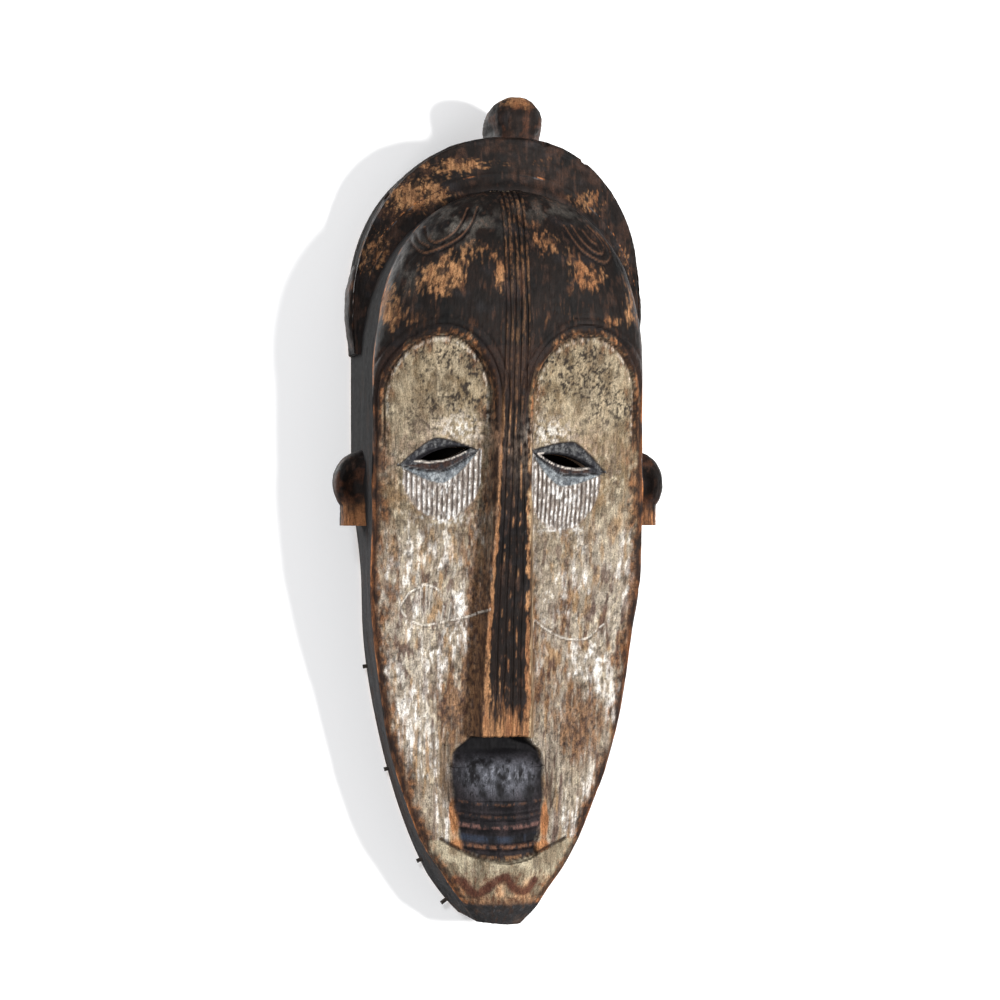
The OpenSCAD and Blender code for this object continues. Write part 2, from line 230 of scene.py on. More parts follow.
# ------------------------------------------------------------------ the face's carving
# Each eye: its middle, how it droops outwards, its half length, the middle of its slit, and the
# middle, half width, depth and pitch of the hatching under it.
EYES = [
    {"side": -1, "x": -50.5, "h": 342.0, "tilt": 11.0, "half": 28.0, "slit": (-48.0, 345.0),
     "hatch": (-48.0, 327.0, 27.0, 30.0), "pitch": 3.55},
    {"side": 1, "x": 39.5, "h": 339.5, "tilt": 16.0, "half": 28.0, "slit": (38.5, 340.0),
     "hatch": (37.5, 322.0, 25.5, 33.0), "pitch": 3.1},
]
EYE_TILT = 13.0
EYE_LEN = 36.0
EYE_GAP = 7.5


def turned(dx, dh, degrees):
    a = math.radians(degrees)
    return dx * math.cos(a) - dh * math.sin(a), dx * math.sin(a) + dh * math.cos(a)


def eye_parts(e, x, h):
    """Where a point is along and across the eye, and how far it is into the upper and the lower
    half of its lozenge, the bevel below it and the hatching."""
    u, v = turned((x - e["x"]) * e["side"], h - e["h"], e["tilt"])
    t = np.clip(np.abs(u) / e["half"], 0, 1)
    upper = 14.5 * (1 - t**1.35) - v
    lower = v + 10.0 * (1 - t**1.3)
    bevel = v + 18.5 * (1 - t**1.5)
    hx, hh, hw, hd = e["hatch"]
    s = np.clip(np.abs(x - hx) / hw, 0, 1)
    low = hh - hd * np.sqrt(1 - s**1.7)
    hatch = np.where(np.abs(x - hx) < hw, np.minimum(h - low, 40), -1)
    return u, v, upper, lower, bevel, hatch


def slit_gap(e, x, h):
    """Positive inside the slit, in millimetres from its edge."""
    u, v = turned((x - e["slit"][0]) * e["side"], h - e["slit"][1], EYE_TILT)
    return EYE_GAP / 2 * np.maximum(-3, 1 - (u / (EYE_LEN / 2)) ** 2) - np.abs(v)


def hatch_phase(e, x, h):
    """Counts the hatching's cuts from its middle: a whole number in the middle of each cut."""
    hx, hh = e["hatch"][:2]
    lean = (h - hh) * 0.02 * e["side"]
    return (x - hx + lean + (noise(x * 0, x * 0, h, 9, 9, 11, 8) - 0.5) * 1.2) / e["pitch"]


def panel_inside(x, h):
    """Distance in millimetres from a point to the border of its cheek panel, positive inside."""
    a = np.abs(x)
    inner = nose_half(h) + np.where(x < 0, 1.5, -1.0) * ease(300, 400, h)
    outer = edge_x(h) - 2.5
    middle, half = (inner + outer) / 2, (outer - inner) / 2
    top, spring = 434.0, 383.0
    rise = np.maximum(0, h - spring) / (top - spring)
    r = np.where(h > spring, np.hypot((a - middle) / half, rise), np.abs(a - middle) / half)
    return (1 - r) * half


# The lines that are cut into the forehead, the cheeks and the sides of the mouth.
ORNAMENT = [
    [(-71, 503), (-71.5, 494), (-66, 486), (-57, 487), (-41, 495), (-31, 506), (-25, 519)],
    [(-62, 505), (-61, 496), (-55, 493), (-44, 499), (-37, 508), (-32, 518)],
    [(-68, 504), (-67, 495), (-61, 489.5)],
    [(36, 506), (41, 497), (48, 488), (58, 482), (66, 480), (71, 485), (69, 494), (62, 502)],
    [(42, 506), (47, 497), (55, 489), (63, 486), (66, 490), (63, 498), (55, 507)],
    [(50, 503), (55, 496), (60, 493)],
]
CHEEKS = [
    [(-78, 241), (-74, 230), (-61, 222.5), (-48, 224), (-36, 226.5), (-25, 229), (-14, 234)],
    [(-68, 247), (-61, 251.5), (-54, 250), (-49, 247), (-47, 241)],
    [(-76, 237), (-70, 246), (-61, 250)],
    [(-62, 248), (-61, 229)],
    [(-58, 250), (-58, 231)],
    [(-54.5, 248), (-55.5, 233)],
    [(-49, 232), (-48, 225)],
    [(-45, 236), (-46.5, 225)],
    [(-40, 238), (-41, 226)],
    [(-36, 237), (-36.5, 227)],
    [(22, 225), (30, 219), (41, 213), (52, 211), (61, 212), (67, 217), (73, 222)],
]
MOUTH_SIDES = [
    [(-40, 143), (-45, 130), (-47, 112), (-44, 92), (-37, 72)],
    [(-43, 134), (-44.5, 112), (-41, 92)],
    [(33, 141), (38, 126), (39, 108), (36, 90), (31, 76)],
]
CHIN_ARC = [(-48, 67), (-36, 60), (-22, 54), (-3, 51), (18, 54), (34, 60), (49, 66)]
# The ridges across the mouth, from the top down: height in the middle, width and how proud they stand.
MOUTH_RIDGES = [
    (92, 3.0, 1.6), (86, 2.2, -1.0), (82, 3.0, 1.6), (75, 3.2, 1.4),
    (66, 7.0, -1.8), (60.5, 3.0, 1.8), (56.5, 3.0, -1.6),
]


def chin_arc(x):
    """Height of the arc between the mouth and the chin."""
    return 51 + 16 * ((x - 0.5) / 49) ** 2


def mouth_here(x, h):
    """1 inside the mouth's rounded block, 0 outside it."""
    half = MOUTH_HALF + 0.5 - 15 * ease(120, 143, h) ** 2 - 5.5 * (1 - ease(56, 98, h))
    half = half + 2.4 * (noise(np.sign(x) * 9, x * 0, h, 9, 9, 9, 61) - 0.5)
    across = 1 - ease(half - 2, half + 2.5, np.abs(x - MOUTH_X))
    return across * (1 - ease(NOSE_END - 0.5, NOSE_END + 1.5, h)) * ease(-1.5, 2.5, h - chin_arc(x))


def mouth_cut(x, h):
    """How deep the mouth is cut in: an overhung scoop, a rounded block, and steps down to the chin."""
    x = x - MOUTH_X
    bow = 3.5 * (x / MOUTH_HALF) ** 2
    scoop = mix(9, 22, ease(118, 133, h + bow * 0.6))
    block = mix(5.5, 9, ease(94, 118, h)) + 5 * (x / MOUTH_HALF) ** 4
    steps = mix(9.5, 7.5, ease(50, 94, h))
    out = np.where(h > 118, scoop, np.where(h > 94, block, steps))
    for mid, width, proud in MOUTH_RIDGES:
        out = out - proud * groove(h - mid - bow, 2 * width)
    return out


def face_cut(x, h):
    """The large forms cut from the front: the panels beside the nose, and the mouth."""
    a, n = np.abs(x), nose_half(h)
    e = edge_x(h)
    inside = panel_inside(x, h)
    flank = ease(n, n + 6, a)
    fade = 1 - 0.92 * ease(n + 10, e, a)
    deep = mix(16, 9, ease(320, 400, h)) * mix(0.3, 1, ease(40, 150, h))
    panel = deep * flank * fade * ease(-1, 7, inside) * ease(20, 60, h)
    return mix(panel, mouth_cut(x, h), mouth_here(x, h))


def wobble(x, y, h):
    """The unevenness that a blade leaves: long soft facets."""
    return (noise(x, y, h, 17, 17, 30, 0) - 0.5) * 1.1 + (noise(x, y, h, 6, 6, 13, 1) - 0.5) * 0.45


def groove_place(share, h):
    """Where one of the long grooves of the forehead and the nose runs, as a share of their width."""
    return mix(share * 12.0, share * 8.3, ease(200, 400, h))


def long_grooves(x, h):
    """The band of grooves that runs down the forehead and the nose, outwards positive."""
    n = nose_half(h)
    on_nose = (h > NOSE_END) & (np.abs(x) < n + 2)
    band = 1 - ease(0.9, 1.02, np.abs(x) / np.where(h > 380, 9.0, n - 0.5))
    parts = [1.0 * band * ease(365, 395, h) * (1 - ease(524, 532, h))]
    for share in (-0.72, -0.24, 0.24, 0.72):
        wander = (noise(h * 0 + share * 30, h * 0, h, 5, 5, 24, 5) - 0.5) * 1.4
        cut = groove(x - (groove_place(share, h) + wander), mix(2.4, 2.1, ease(200, 400, h)))
        depth = 0.55 + 0.6 * noise(x * 0, x * 0 + share * 9, h, 9, 9, 20, 3)
        parts.append(-np.where(on_nose | (h > 380), 1.2 * cut, 0) * depth)
    return parts


def eye_relief(e, x, h):
    """One eye: a lozenge with a raised rim, hollow lids, a bevelled sill, and the hatching under it."""
    u, v, up, low, bevel, hatch = eye_parts(e, x, h)
    near = np.abs(u) < e["half"] + 0.5
    lids = np.minimum(up, low)
    gap = slit_gap(e, x, h)
    on_sill = near & (low < 0) & (bevel > 0)
    hx, _, hw, _ = e["hatch"]
    phase = hatch_phase(e, x, h)
    cut = groove((phase - np.round(phase)) * e["pitch"], 1.9)
    ends = ease(0, 3, hatch) * ease(0, 2.5, -bevel) * (1 - ease(hw - 1.5, hw, np.abs(x - hx)))
    return [
        np.where(near, 1.1 * groove(up + 0.6, 3.0) * (lids > -2.5), 0),
        -np.where(near, 3.6 * ease(0, 9, lids), 0),
        np.where(near, 1.6 * groove(gap + 1.6, 3.4), 0),
        np.where(on_sill, 1.9 * ease(0, 1.2, -low) - 1.5 * ease(0, 7, -low), 0),
        -np.where(near, 1.0 * groove(low, 1.8) * (v < 0) * (up > 0), 0),
        -np.where((hatch > 0) & (bevel < 0), 1.15 * cut * ends, 0),
        -0.5 * groove(np.where((hatch > -2) & (bevel < 0), hatch - 0.3, 9), 2.0),
    ]


def face_relief(x, h, d):
    """The fine carving, in millimetres, outwards positive."""
    out = np.zeros(x.shape)
    inside = panel_inside(x, h)
    upper = ease(330, 375, h)
    # the two lines round the head of each panel, with a rounded ridge between them
    out -= 1.5 * groove(inside + 0.5, 3.0) * mix(0.35, 1, upper) * ease(150, 200, h)
    out += 0.8 * groove(inside - 2.6, 3.4) * upper
    out -= 1.6 * groove(inside - 5.2, 2.8) * upper
    out -= 0.8 * groove(inside + 6.0, 2.2) * ease(375, 400, h)
    for part in long_grooves(x, h):
        out += part
    for e in EYES:
        for part in eye_relief(e, x, h):
            out += part
    cuts = ((ORNAMENT, 1.0, 3, 2.4), (CHEEKS, 0.75, 3, 1.7), (MOUTH_SIDES, 1.3, 4, 3.4))
    for lines, depth, reach, width in cuts:
        for line in lines:
            out -= depth * groove(line_distance(x, h, line, reach), width)
    out -= 2.0 * groove(line_distance(x, h, CHIN_ARC, 6), 3.4)
    beside = 2.6 * blob(x, h, -41, 112, 5, 26) + 2.0 * blob(x, h, 34, 110, 4.5, 24)
    out -= beside * (1 - mouth_here(x, h))
    # blade marks, soft on the panels and along the grain on the nose and the forehead
    out += wobble(x, d, h) * mix(0.8, 0.45, ease(0, 6, inside))
    out += (fbm(x, d, h, 1.5, 1.5, 22, 21, 2) - 0.5) * 0.35
    pit = ease(0.74, 0.84, noise(x, d, h, 3.2, 3.2, 5.5, 23))
    out -= 0.35 * pit * mix(1, 0.5, ease(0, 4, inside))
    return out


# ------------------------------------------------------------------ paint, worked out point by point
def rgb(r, g, b):
    """Linear colour from 0 to 255 screen values."""
    c = np.array([r, g, b]) / 255.0
    return np.where(c <= 0.04045, c / 12.92, ((c + 0.055) / 1.055) ** 2.4)


def tones(dark, light, low, high, value):
    """From one screen colour to another, as the value goes from low to high."""
    return mix(rgb(*dark), rgb(*light), ease(low, high, value)[:, None])


def lay(colour, over, amount):
    """One coat over another."""
    a = np.clip(amount, 0, 1)[:, None]
    return colour * (1 - a) + over * a


def wood(x, d, h, seed):
    """Bare orange-brown wood with a vertical grain."""
    g = fbm(x, d, h, 1.6, 1.6, 34, seed + 40, 3)
    t = fbm(x, d, h, 22, 22, 34, seed + 44, 2)
    c = mix(rgb(98, 64, 42), rgb(184, 138, 96), np.clip((g - 0.2) * 1.5, 0, 1)[:, None])
    c = lay(c, rgb(132, 84, 52), 0.55 * ease(0.35, 0.7, t))
    return lay(c, rgb(60, 34, 20), 0.8 * ease(0.66, 0.8, fbm(x, d, h, 1.1, 1.1, 16, seed + 47, 2)))


def black_paint(x, d, h, seed):
    """Black paint with brown in it, and grey that is partly dust and partly a painted sheen."""
    t = fbm(x, d, h, 9, 9, 14, seed + 60, 3)
    c = mix(rgb(5, 4, 4), rgb(28, 17, 12), np.clip(t * 1.4 - 0.2, 0, 1)[:, None])
    c = lay(c, rgb(62, 42, 32), 0.55 * ease(0.60, 0.76, fbm(x, d, h, 2.2, 2.2, 12, seed + 62, 2)))
    # grey patches: dust, and a painted sheen on the black
    return lay(c, rgb(70, 70, 76), 0.10 * ease(0.55, 0.8, fbm(x, d, h, 14, 14, 9, seed + 64, 3)))


def clay(x, d, h):
    """White clay, cream and grey, blotched above and streaked along the grain below."""
    low = 1 - ease(240, 330, h)
    big = fbm(x, d, h, 26, 26, 40, 80, 2)
    fine = fbm(x, d, h, 2.6, 2.6, 3.6, 82, 3)
    streak = fbm(x, d, h, 2.4, 2.4, 26, 84, 3)
    blotch = fbm(x, d, h, 7, 7, 9, 86, 3)
    c = tones((118, 104, 82), (142, 131, 114), 0.35, 0.65, big)
    c = lay(c * mix(0.74, 1, low)[:, None], rgb(152, 142, 130), 0.6 * low)
    c = lay(c, rgb(172, 160, 138), ease(0.48, 0.68, fine) * 0.7)
    c = lay(c, rgb(100, 80, 58), ease(0.50, 0.66, blotch) * mix(0.6, 0.25, low))
    patch = ease(0.36, 0.62, fbm(x, d, h, 17, 17, 30, 90, 2))
    flake = ease(0.47, 0.63, 0.6 * streak + 0.4 * fine)
    c = lay(c, rgb(220, 216, 210), flake * mix(0.10, 0.95, low) * mix(0.15, 1.0, patch))
    c = lay(c, rgb(146, 116, 82), ease(0.54, 0.70, fbm(x, d, h, 4, 4, 36, 87, 3)) * mix(0.3, 0.8, low))
    purple = ease(0.53, 0.65, fbm(x, d, h, 3.4, 3.4, 22, 88, 3)) * low * mix(1.0, 0.45, patch)
    c = lay(c, rgb(80, 60, 54), purple * 0.85)
    stain = ease(0.54, 0.64, fbm(x, d, h, 8, 8, 11, 89, 3)) * ease(0.40, 0.54, fine)
    return lay(c, rgb(62, 46, 38), stain * mix(0.75, 0.35, low))


# Soft spots: middle, size and strength. BARE is where the forehead's black is rubbed away.
BARE = [
    (-54, 468, 17, 14, 1.0), (-28, 488, 22, 12, 0.5), (52, 470, 16, 13, 0.8), (-13, 468, 5, 14, 0.7),
    (26, 490, 16, 16, 0.45), (-90, 452, 12, 26, 0.6), (88, 455, 12, 22, 0.5), (70, 440, 16, 8, 0.45),
    (-70, 440, 20, 8, 0.35), (30, 445, 18, 12, 0.35), (14, 505, 10, 16, 0.3),
]
# The grey on the forehead: dust, and a painted sheen near where it meets the headdress.
DUST_AND_SHEEN = [(-42, 508, 24, 13, 0.7), (-78, 480, 12, 20, 0.5), (30, 518, 30, 8, 0.35)]
STAINS = [
    (-22, 215, 9, 70, 0.8), (27, 190, 10, 60, 0.5), (-82, 260, 8, 90, 0.5), (-30, 155, 14, 26, 0.6),
    (58, 150, 22, 40, 0.75), (44, 240, 8, 60, 0.5), (-44, 180, 12, 60, 0.45), (-30, 300, 10, 40, 0.4),
    (-22, 372, 8, 26, 0.5),
]
BESIDE_MOUTH = [(-42, 112, 6, 34, 1.0), (35, 108, 5, 32, 0.7)]
OCHRE = [(-37.5, 84, 4.5, 14, 1.0), (31, 80, 4, 14, 1.0), (-34, 60, 10, 6, 1.0), (28, 60, 10, 5, 0.8)]
DRESS_BARE = [
    (-62, 532, 26, 14, 1.0), (-30, 553, 30, 7, 0.8), (62, 530, 20, 12, 0.7),
    (30, 556, 22, 7, 0.4), (-92, 492, 14, 24, 0.7), (92, 488, 12, 22, 0.5),
]
CHIN_STROKE = [(-42, 33), (-34, 37), (-27, 31), (-19, 27), (-10, 36), (-2, 39), (7, 31), (17, 29), (23, 36)]


def eye_paint(c, x, h, fine):
    """The two eyes: dark hollow lids, a grey-blue bevelled sill, and pale hatching under it."""
    for e in EYES:
        u, v, up, low, bevel, hatch = eye_parts(e, x, h)
        lids = np.minimum(up, low)
        near = (np.abs(u) < e["half"] + 1) & (h > e["h"] - 60) & (h < e["h"] + 30)
        soot = blob(x, h, e["x"], e["h"] + 6, 32, 20)
        brown = mix(rgb(132, 100, 82), rgb(176, 158, 140), fine[:, None])
        c = lay(c, brown, 0.6 * soot * ease(0.3, 0.7, fine))
        shine = blob(x, h, e["x"] - 14 * e["side"], e["h"] + 20, 12, 9)
        c = lay(c, rgb(214, 210, 202), 0.8 * shine * ease(0.4, 0.62, fine))
        blue = tones((84, 90, 96), (136, 142, 146), 0.35, 0.7, fine)
        c = lay(c, blue, near * (low < 0.8) * ease(-0.6, 0.8, bevel) * 0.95)
        lid = tones((44, 44, 48), (108, 108, 108), 0.4, 0.75, fine)
        c = lay(c, lid, near * ease(-0.4, 1.0, lids))
        c = lay(c, rgb(54, 40, 36), near * (v < -1.5) * ease(0.5, 2, lids) * ease(0.3, 0.6, fine))
        c = lay(c, rgb(26, 22, 24), near * groove(up - 0.4, 1.7) * (low > 0) * 0.85)
        gap = slit_gap(e, x, h)
        c = lay(c, rgb(20, 18, 22), near * ease(-1.8, -0.4, gap))
        c = lay(c, rgb(222, 212, 202), near * groove(gap + 1.3, 1.5) * (v < 1) * ease(0.3, 0.5, fine) * 0.9)
        c = lay(c, rgb(28, 22, 22), near * groove(low + 0.1, 1.5) * (v < 0) * (up > 0))
        hx, hh, _, hd = e["hatch"]
        marks = (hatch > 0) & (bevel < 0.2)
        tone = tones((128, 120, 114), (178, 172, 166), 0.3, 0.7, fine)
        c = lay(c, tone, marks * 0.85 * ease(0, 3, hatch))
        phase = hatch_phase(e, x, h)
        cut = groove((phase - np.round(phase)) * e["pitch"], 1.5)
        off = groove((phase - 0.42 - np.round(phase - 0.42)) * e["pitch"], 1.3)
        c = lay(c, rgb(232, 230, 228), marks * off * ease(0.42, 0.62, fine) * 0.9)
        c = lay(c, rgb(66, 50, 44), marks * cut * ease(0.3, 0.5, fine + 0.12) * 0.9 * ease(0, 3, hatch))
        c = lay(c, rgb(110, 92, 80), near * groove(np.where(bevel < 0, hatch - 0.3, 9), 1.8) * 0.8)
        c = lay(c, rgb(226, 226, 224), near * blob(x, h, hx, hh - 7, 9, 5) * ease(0.45, 0.62, fine) * 0.8)
        foot = near * blob(x, h, hx, hh - hd + 2, 16, 4)
        c = lay(c, rgb(226, 226, 224), foot * ease(0.5, 0.65, fine) * 0.7)
    return c


def mouth_paint(c, x, d, h, fine, mid, streak, bare):
    """The mouth block, the ridges under it, the bare wood on both sides and the chin."""
    m = mouth_here(x, h)
    e_gap = edge_x(h) - np.abs(x)
    xm = x - MOUTH_X
    bow = 3.5 * (xm / MOUTH_HALF) ** 2
    hb = h - bow
    # the cheeks beside it
    beside = np.clip(spots(x, h, BESIDE_MOUTH), 0, 1)
    c = lay(c, mix(rgb(60, 48, 42), rgb(112, 94, 78), fine[:, None]), 0.85 * beside)
    c = lay(c, bare * 1.15, ease(0.3, 0.6, spots(x, h, OCHRE) + 0.3 * (streak - 0.5)))
    # the block: black paint, with a painted highlight on its rounded front that fades towards its sides
    dark = tones((14, 12, 15), (40, 34, 36), 0.3, 0.8, mid)
    c = lay(c, dark, m * (h > 52))
    sheen = blob(x, hb, MOUTH_X, 112, 34, 13) * ease(0.25, 0.6, mid)
    c = lay(c, rgb(96, 98, 106), m * 0.85 * sheen * (1 - 0.7 * ease(0.55, 1.0, np.abs(xm) / MOUTH_HALF)))
    # painted shadow under the nose's end, deepening the black at the block's top
    c = lay(c, rgb(5, 4, 7), m * 0.95 * ease(123, 130, hb + (mid - 0.5) * 5))
    # a second, smaller painted highlight on the block's front
    c = lay(c, rgb(150, 152, 160), m * 0.5 * blob(x, hb, MOUTH_X, 113, 26, 7) * ease(0.5, 0.75, fine))
    pits = ease(0.62, 0.72, fbm(x, d, h, 3.4, 3.4, 3.4, 131, 3))
    c = lay(c, rgb(12, 10, 12), m * pits * ease(94, 98, hb) * 0.9)
    c = lay(c, rgb(88, 60, 44), m * 0.7 * groove(hb - 91.5, 2.6) * ease(0.45, 0.6, fine))
    c = lay(c, rgb(78, 52, 38), m * 0.6 * groove(hb - 82.5, 2.4) * ease(0.45, 0.6, fine))
    c = lay(c, rgb(116, 84, 76), m * 0.7 * groove(hb - 75, 4.0) * ease(0.4, 0.6, fine))
    c = lay(c, rgb(38, 46, 60), m * 0.8 * groove(hb - 66, 6.5) * ease(0.3, 0.55, mid))
    c = lay(c, rgb(104, 72, 54), m * 0.9 * groove(hb - 60.5, 4.0) * ease(0.3, 0.55, fine))
    c = lay(c, rgb(142, 104, 72), m * 0.9 * groove(hb - 52.8, 3.2) * ease(0.35, 0.55, fine))
    # the chin under its arc
    arc = line_distance(x, h, CHIN_ARC, 8)
    under = (h < 66) & (h < chin_arc(x))
    chin = tones((112, 100, 82), (158, 148, 126), 0.35, 0.65, mid)
    chin = lay(chin, rgb(176, 134, 98), ease(44, 30, h) * ease(0.3, 0.65, mid) * 0.9)
    chin = lay(chin, rgb(84, 54, 38), ease(0.52, 0.66, fine) * ease(60, 34, h) * 0.8)
    c = lay(c, chin, under * 0.95)
    stroke = line_distance(x, h, CHIN_STROKE, 8)
    c = lay(c, rgb(66, 32, 24), under * ease(5.2, 1.6, stroke + (fine - 0.5) * 6) * 0.9)
    c = lay(c, rgb(70, 46, 34), under * ease(27, 20, h + (mid - 0.5) * 8) * 0.8)
    rim = ease(12, 2, e_gap) * (h < 90) * ease(0.35, 0.6, streak + 0.1)
    c = lay(c, tones((50, 30, 22), (150, 100, 64), 0.4, 0.7, fine), rim * 0.85)
    # painted shade in the groove of the arc between mouth and chin
    c = lay(c, rgb(40, 30, 24), groove(arc, 3.6) * 0.92)
    return c


class Spot:
    """The points of the face's outer skin, with the patterns that its coats share."""

    def __init__(self, x, d, h):
        self.place = x, d, h
        self.a = np.abs(x)
        self.n = nose_half(h)
        self.e = edge_x(h)
        low = np.minimum(self.e - 2.5 - self.a, (h - 20) * 0.8)
        self.area = np.where(h > NOSE_END, panel_inside(x, h), low)
        self.fine = fbm(x, d, h, 2.0, 2.0, 3.0, 101, 3)
        self.mid = fbm(x, d, h, 7, 7, 12, 105, 3)
        self.streak = fbm(x, d, h, 1.8, 1.8, 22, 109, 3)
        self.bare = wood(x, d, h, 0)
        self.dark = black_paint(x, d, h, 0)
        nose = (1 - ease(self.n + 0.3, self.n + 2.6, self.a)) * (h > NOSE_END - 2)
        self.nose = nose * (1 - ease(372, 400, h))
        self.ragged = self.area + (self.mid - 0.5) * 6.0 + (self.fine - 0.5) * 3.0
        self.covered = ease(0.2, 1.8, self.ragged)


def forehead_paint(p):
    """Black over the forehead, rubbed through to the wood in patches. Also says how worn it is."""
    x, d, h = p.place
    rubbed = 0.50 * np.clip(1.25 * spots(x, h, BARE), 0, 1)
    worn = ease(0.66, 0.82, rubbed + 0.36 * p.fine + 0.34 * p.streak + 0.24 * p.mid - 0.06)
    worn = worn * (1 - 0.85 * ease(0.53, 0.62, fbm(x, d, h, 3.2, 3.2, 5, 111, 3)))
    c = lay(p.dark * 0.82, p.bare * 0.85, worn)
    c = lay(c, rgb(84, 54, 36), 0.4 * ease(0.56, 0.7, p.mid) * ease(0.48, 0.6, p.streak))
    # dust and painted sheen: grey-blue patches near the top of the forehead
    dust_and_sheen = np.clip(spots(x, h, DUST_AND_SHEEN), 0, 1)
    return lay(c, rgb(104, 100, 94), dust_and_sheen * ease(0.38, 0.62, p.mid) * 0.8), worn


def nose_paint(c, p):
    """Black down the middle of the nose, rubbed back to the wood at its edges, ridges and tip."""
    x, _, h = p.place
    rub = 0.30 * ease(0.66, 1.0, p.a / p.n) + 0.24 * p.fine + 0.46 * p.streak + 0.22 * p.mid
    rub = rub + 0.06 * (1 - ease(150, 260, h)) - 0.05 * (x > 0)
    rub = ease(0.60, 0.72, rub) * mix(0.95, 0.7, ease(270, 372, h))
    tip = 1 - ease(143, 166, h + (p.streak - 0.5) * 70)
    c = lay(c, lay(p.dark, p.bare, np.maximum(rub, 0.9 * tip)), p.nose)
    grain = ease(0.50, 0.62, 0.5 * p.streak + 0.5 * p.mid)
    for share in (-0.48, 0.0, 0.48):
        ridge = groove(x - groove_place(share, h), 1.6) * np.maximum(p.nose, h > 380) * (h > NOSE_END)
        c = lay(c, p.bare, 0.8 * (ridge * grain) * (1 - 0.8 * ease(355, 400, h)))
    return c


def panel_paint(c, p):
    """Clay in the panels, dirtier towards their borders, with painted shade beside the nose that is deeper on
    the left.
    """
    x, d, h = p.place
    high = ease(330, 372, h)
    white = lay(clay(x, d, h), tones((98, 84, 64), (152, 138, 114), 0.36, 0.6, p.mid), 0.68 * high)
    grime = ease(13, 0, p.ragged + (p.streak - 0.5) * 16 + (p.mid - 0.5) * 14)
    white = lay(white, tones((44, 30, 24), (122, 84, 56), 0.3, 0.7, p.fine), 0.92 * grime)
    # painted shade beside the nose: its shadow, deep brown on the left flank and lighter brown on the right
    flank = (1 - ease(p.n + 1, p.n + 9, p.a + (p.streak - 0.5) * 8)) * (h > NOSE_END) * ease(430, 400, h)
    left = tones((56, 40, 32), (122, 92, 70), 0.35, 0.7, p.fine)
    right = tones((104, 74, 50), (184, 158, 122), 0.3, 0.6, p.streak)
    white = lay(white, np.where((x < 0)[:, None], left, right), 0.75 * flank)
    stain = ease(0.28, 0.62, spots(x, h, STAINS) * (0.3 + 1.3 * p.streak))
    white = lay(white, tones((62, 42, 34), (122, 90, 64), 0.3, 0.7, p.fine), 0.9 * stain)
    c = lay(c, white, p.covered)
    speckle = ease(0.60, 0.66, fbm(x, d, h, 2.1, 2.1, 2.3, 121, 2))
    speckle = speckle * ease(0.36, 0.52, fbm(x, d, h, 15, 15, 17, 123, 2))
    c = lay(c, rgb(44, 38, 34), p.covered * speckle * mix(0.5, 0.92, ease(330, 390, h)))
    crackle = ease(0.57, 0.62, fbm(x, d, h, 1.5, 1.5, 1.5, 127, 3))
    crackle = crackle * ease(0.44, 0.6, fbm(x, d, h, 22, 22, 26, 129, 2))
    c = lay(c, rgb(40, 34, 30), p.covered * crackle * 0.85 * high)
    # the worn ridge and the two lines round the panels' heads
    head = ease(340, 380, h)
    ridge = tones((24, 16, 14), (140, 92, 58), 0.48, 0.66, 0.6 * p.fine + 0.4 * p.mid)
    c = lay(c, ridge, groove(p.area - 2.4, 4.2) * head * 0.9)
    lines = np.maximum(groove(p.area + 0.5, 2.6), groove(p.area - 5.2, 1.8))
    c = lay(c, rgb(20, 14, 13), lines * head * 0.85)
    return lay(c, rgb(210, 204, 192), groove(p.area - 7.2, 2.6) * head * ease(0.45, 0.65, p.fine) * 0.4)


def cut_lines_paint(c, p):
    """The lines cut in the cheeks and in the forehead."""
    x, _, h = p.place
    for line in CHEEKS:
        light = groove(line_distance(x, h, line, 3), 1.9) * ease(0.32, 0.5, p.fine) * 0.75
        c = lay(c, rgb(214, 208, 198), light)
        c = lay(c, rgb(70, 56, 48), groove(line_distance(x, h + 1.3, line, 3), 1.3) * 0.6)
    for line in ORNAMENT:
        c = lay(c, rgb(104, 70, 48), groove(line_distance(x, h - 1.4, line, 3), 1.8) * 0.6)
        c = lay(c, rgb(16, 12, 12), groove(line_distance(x, h, line, 3), 2.0) * 0.9)
    return c


def wall_paint(c, p):
    """The side walls, the worn front edge and the bevel under the chin. Also says what is wall."""
    x, d, h = p.place
    wall = ease(0.4, 1.8, edge_d(h) - d + (p.fine - 0.5) * 1.5) * (p.a > 0.8 * p.e)
    grey = mix(rgb(20, 18, 19), rgb(52, 50, 51), fbm(x, d, h, 8, 12, 40, 141, 3)[:, None])
    grey = lay(grey, rgb(60, 40, 28), 0.7 * ease(0.55, 0.75, fbm(x, d, h, 3, 9, 20, 143, 3)))
    grey = lay(grey, rgb(84, 86, 90), 0.3 * ease(0.6, 0.75, p.fine))
    grey = grey * mix(1, 0.35, ease(240, 400, h))[:, None]
    c = lay(c, grey, wall)
    edge = groove(edge_d(h) - d - 0.2, 3.2) * (p.a > 0.86 * p.e)
    rubbed = tones((70, 42, 26), (176, 112, 66), 0.3, 0.7, p.streak)
    c = lay(c, rubbed, edge * 0.9 * ease(0.3, 0.5, p.mid))
    inner = (p.a < p.e - 1) & (p.area < 4) & (h < 420) & (h > 24)
    c = lay(c, rgb(40, 26, 20), inner * 0.7 * ease(5, 1, p.area + (p.mid - 0.5) * 8) * (1 - p.nose))
    bevel = ease(20.5, 18, h + (p.fine - 0.5) * 1.5)
    return lay(c, lay(grey, rgb(84, 62, 48), 0.4 * ease(0.5, 0.7, p.mid)), bevel), wall


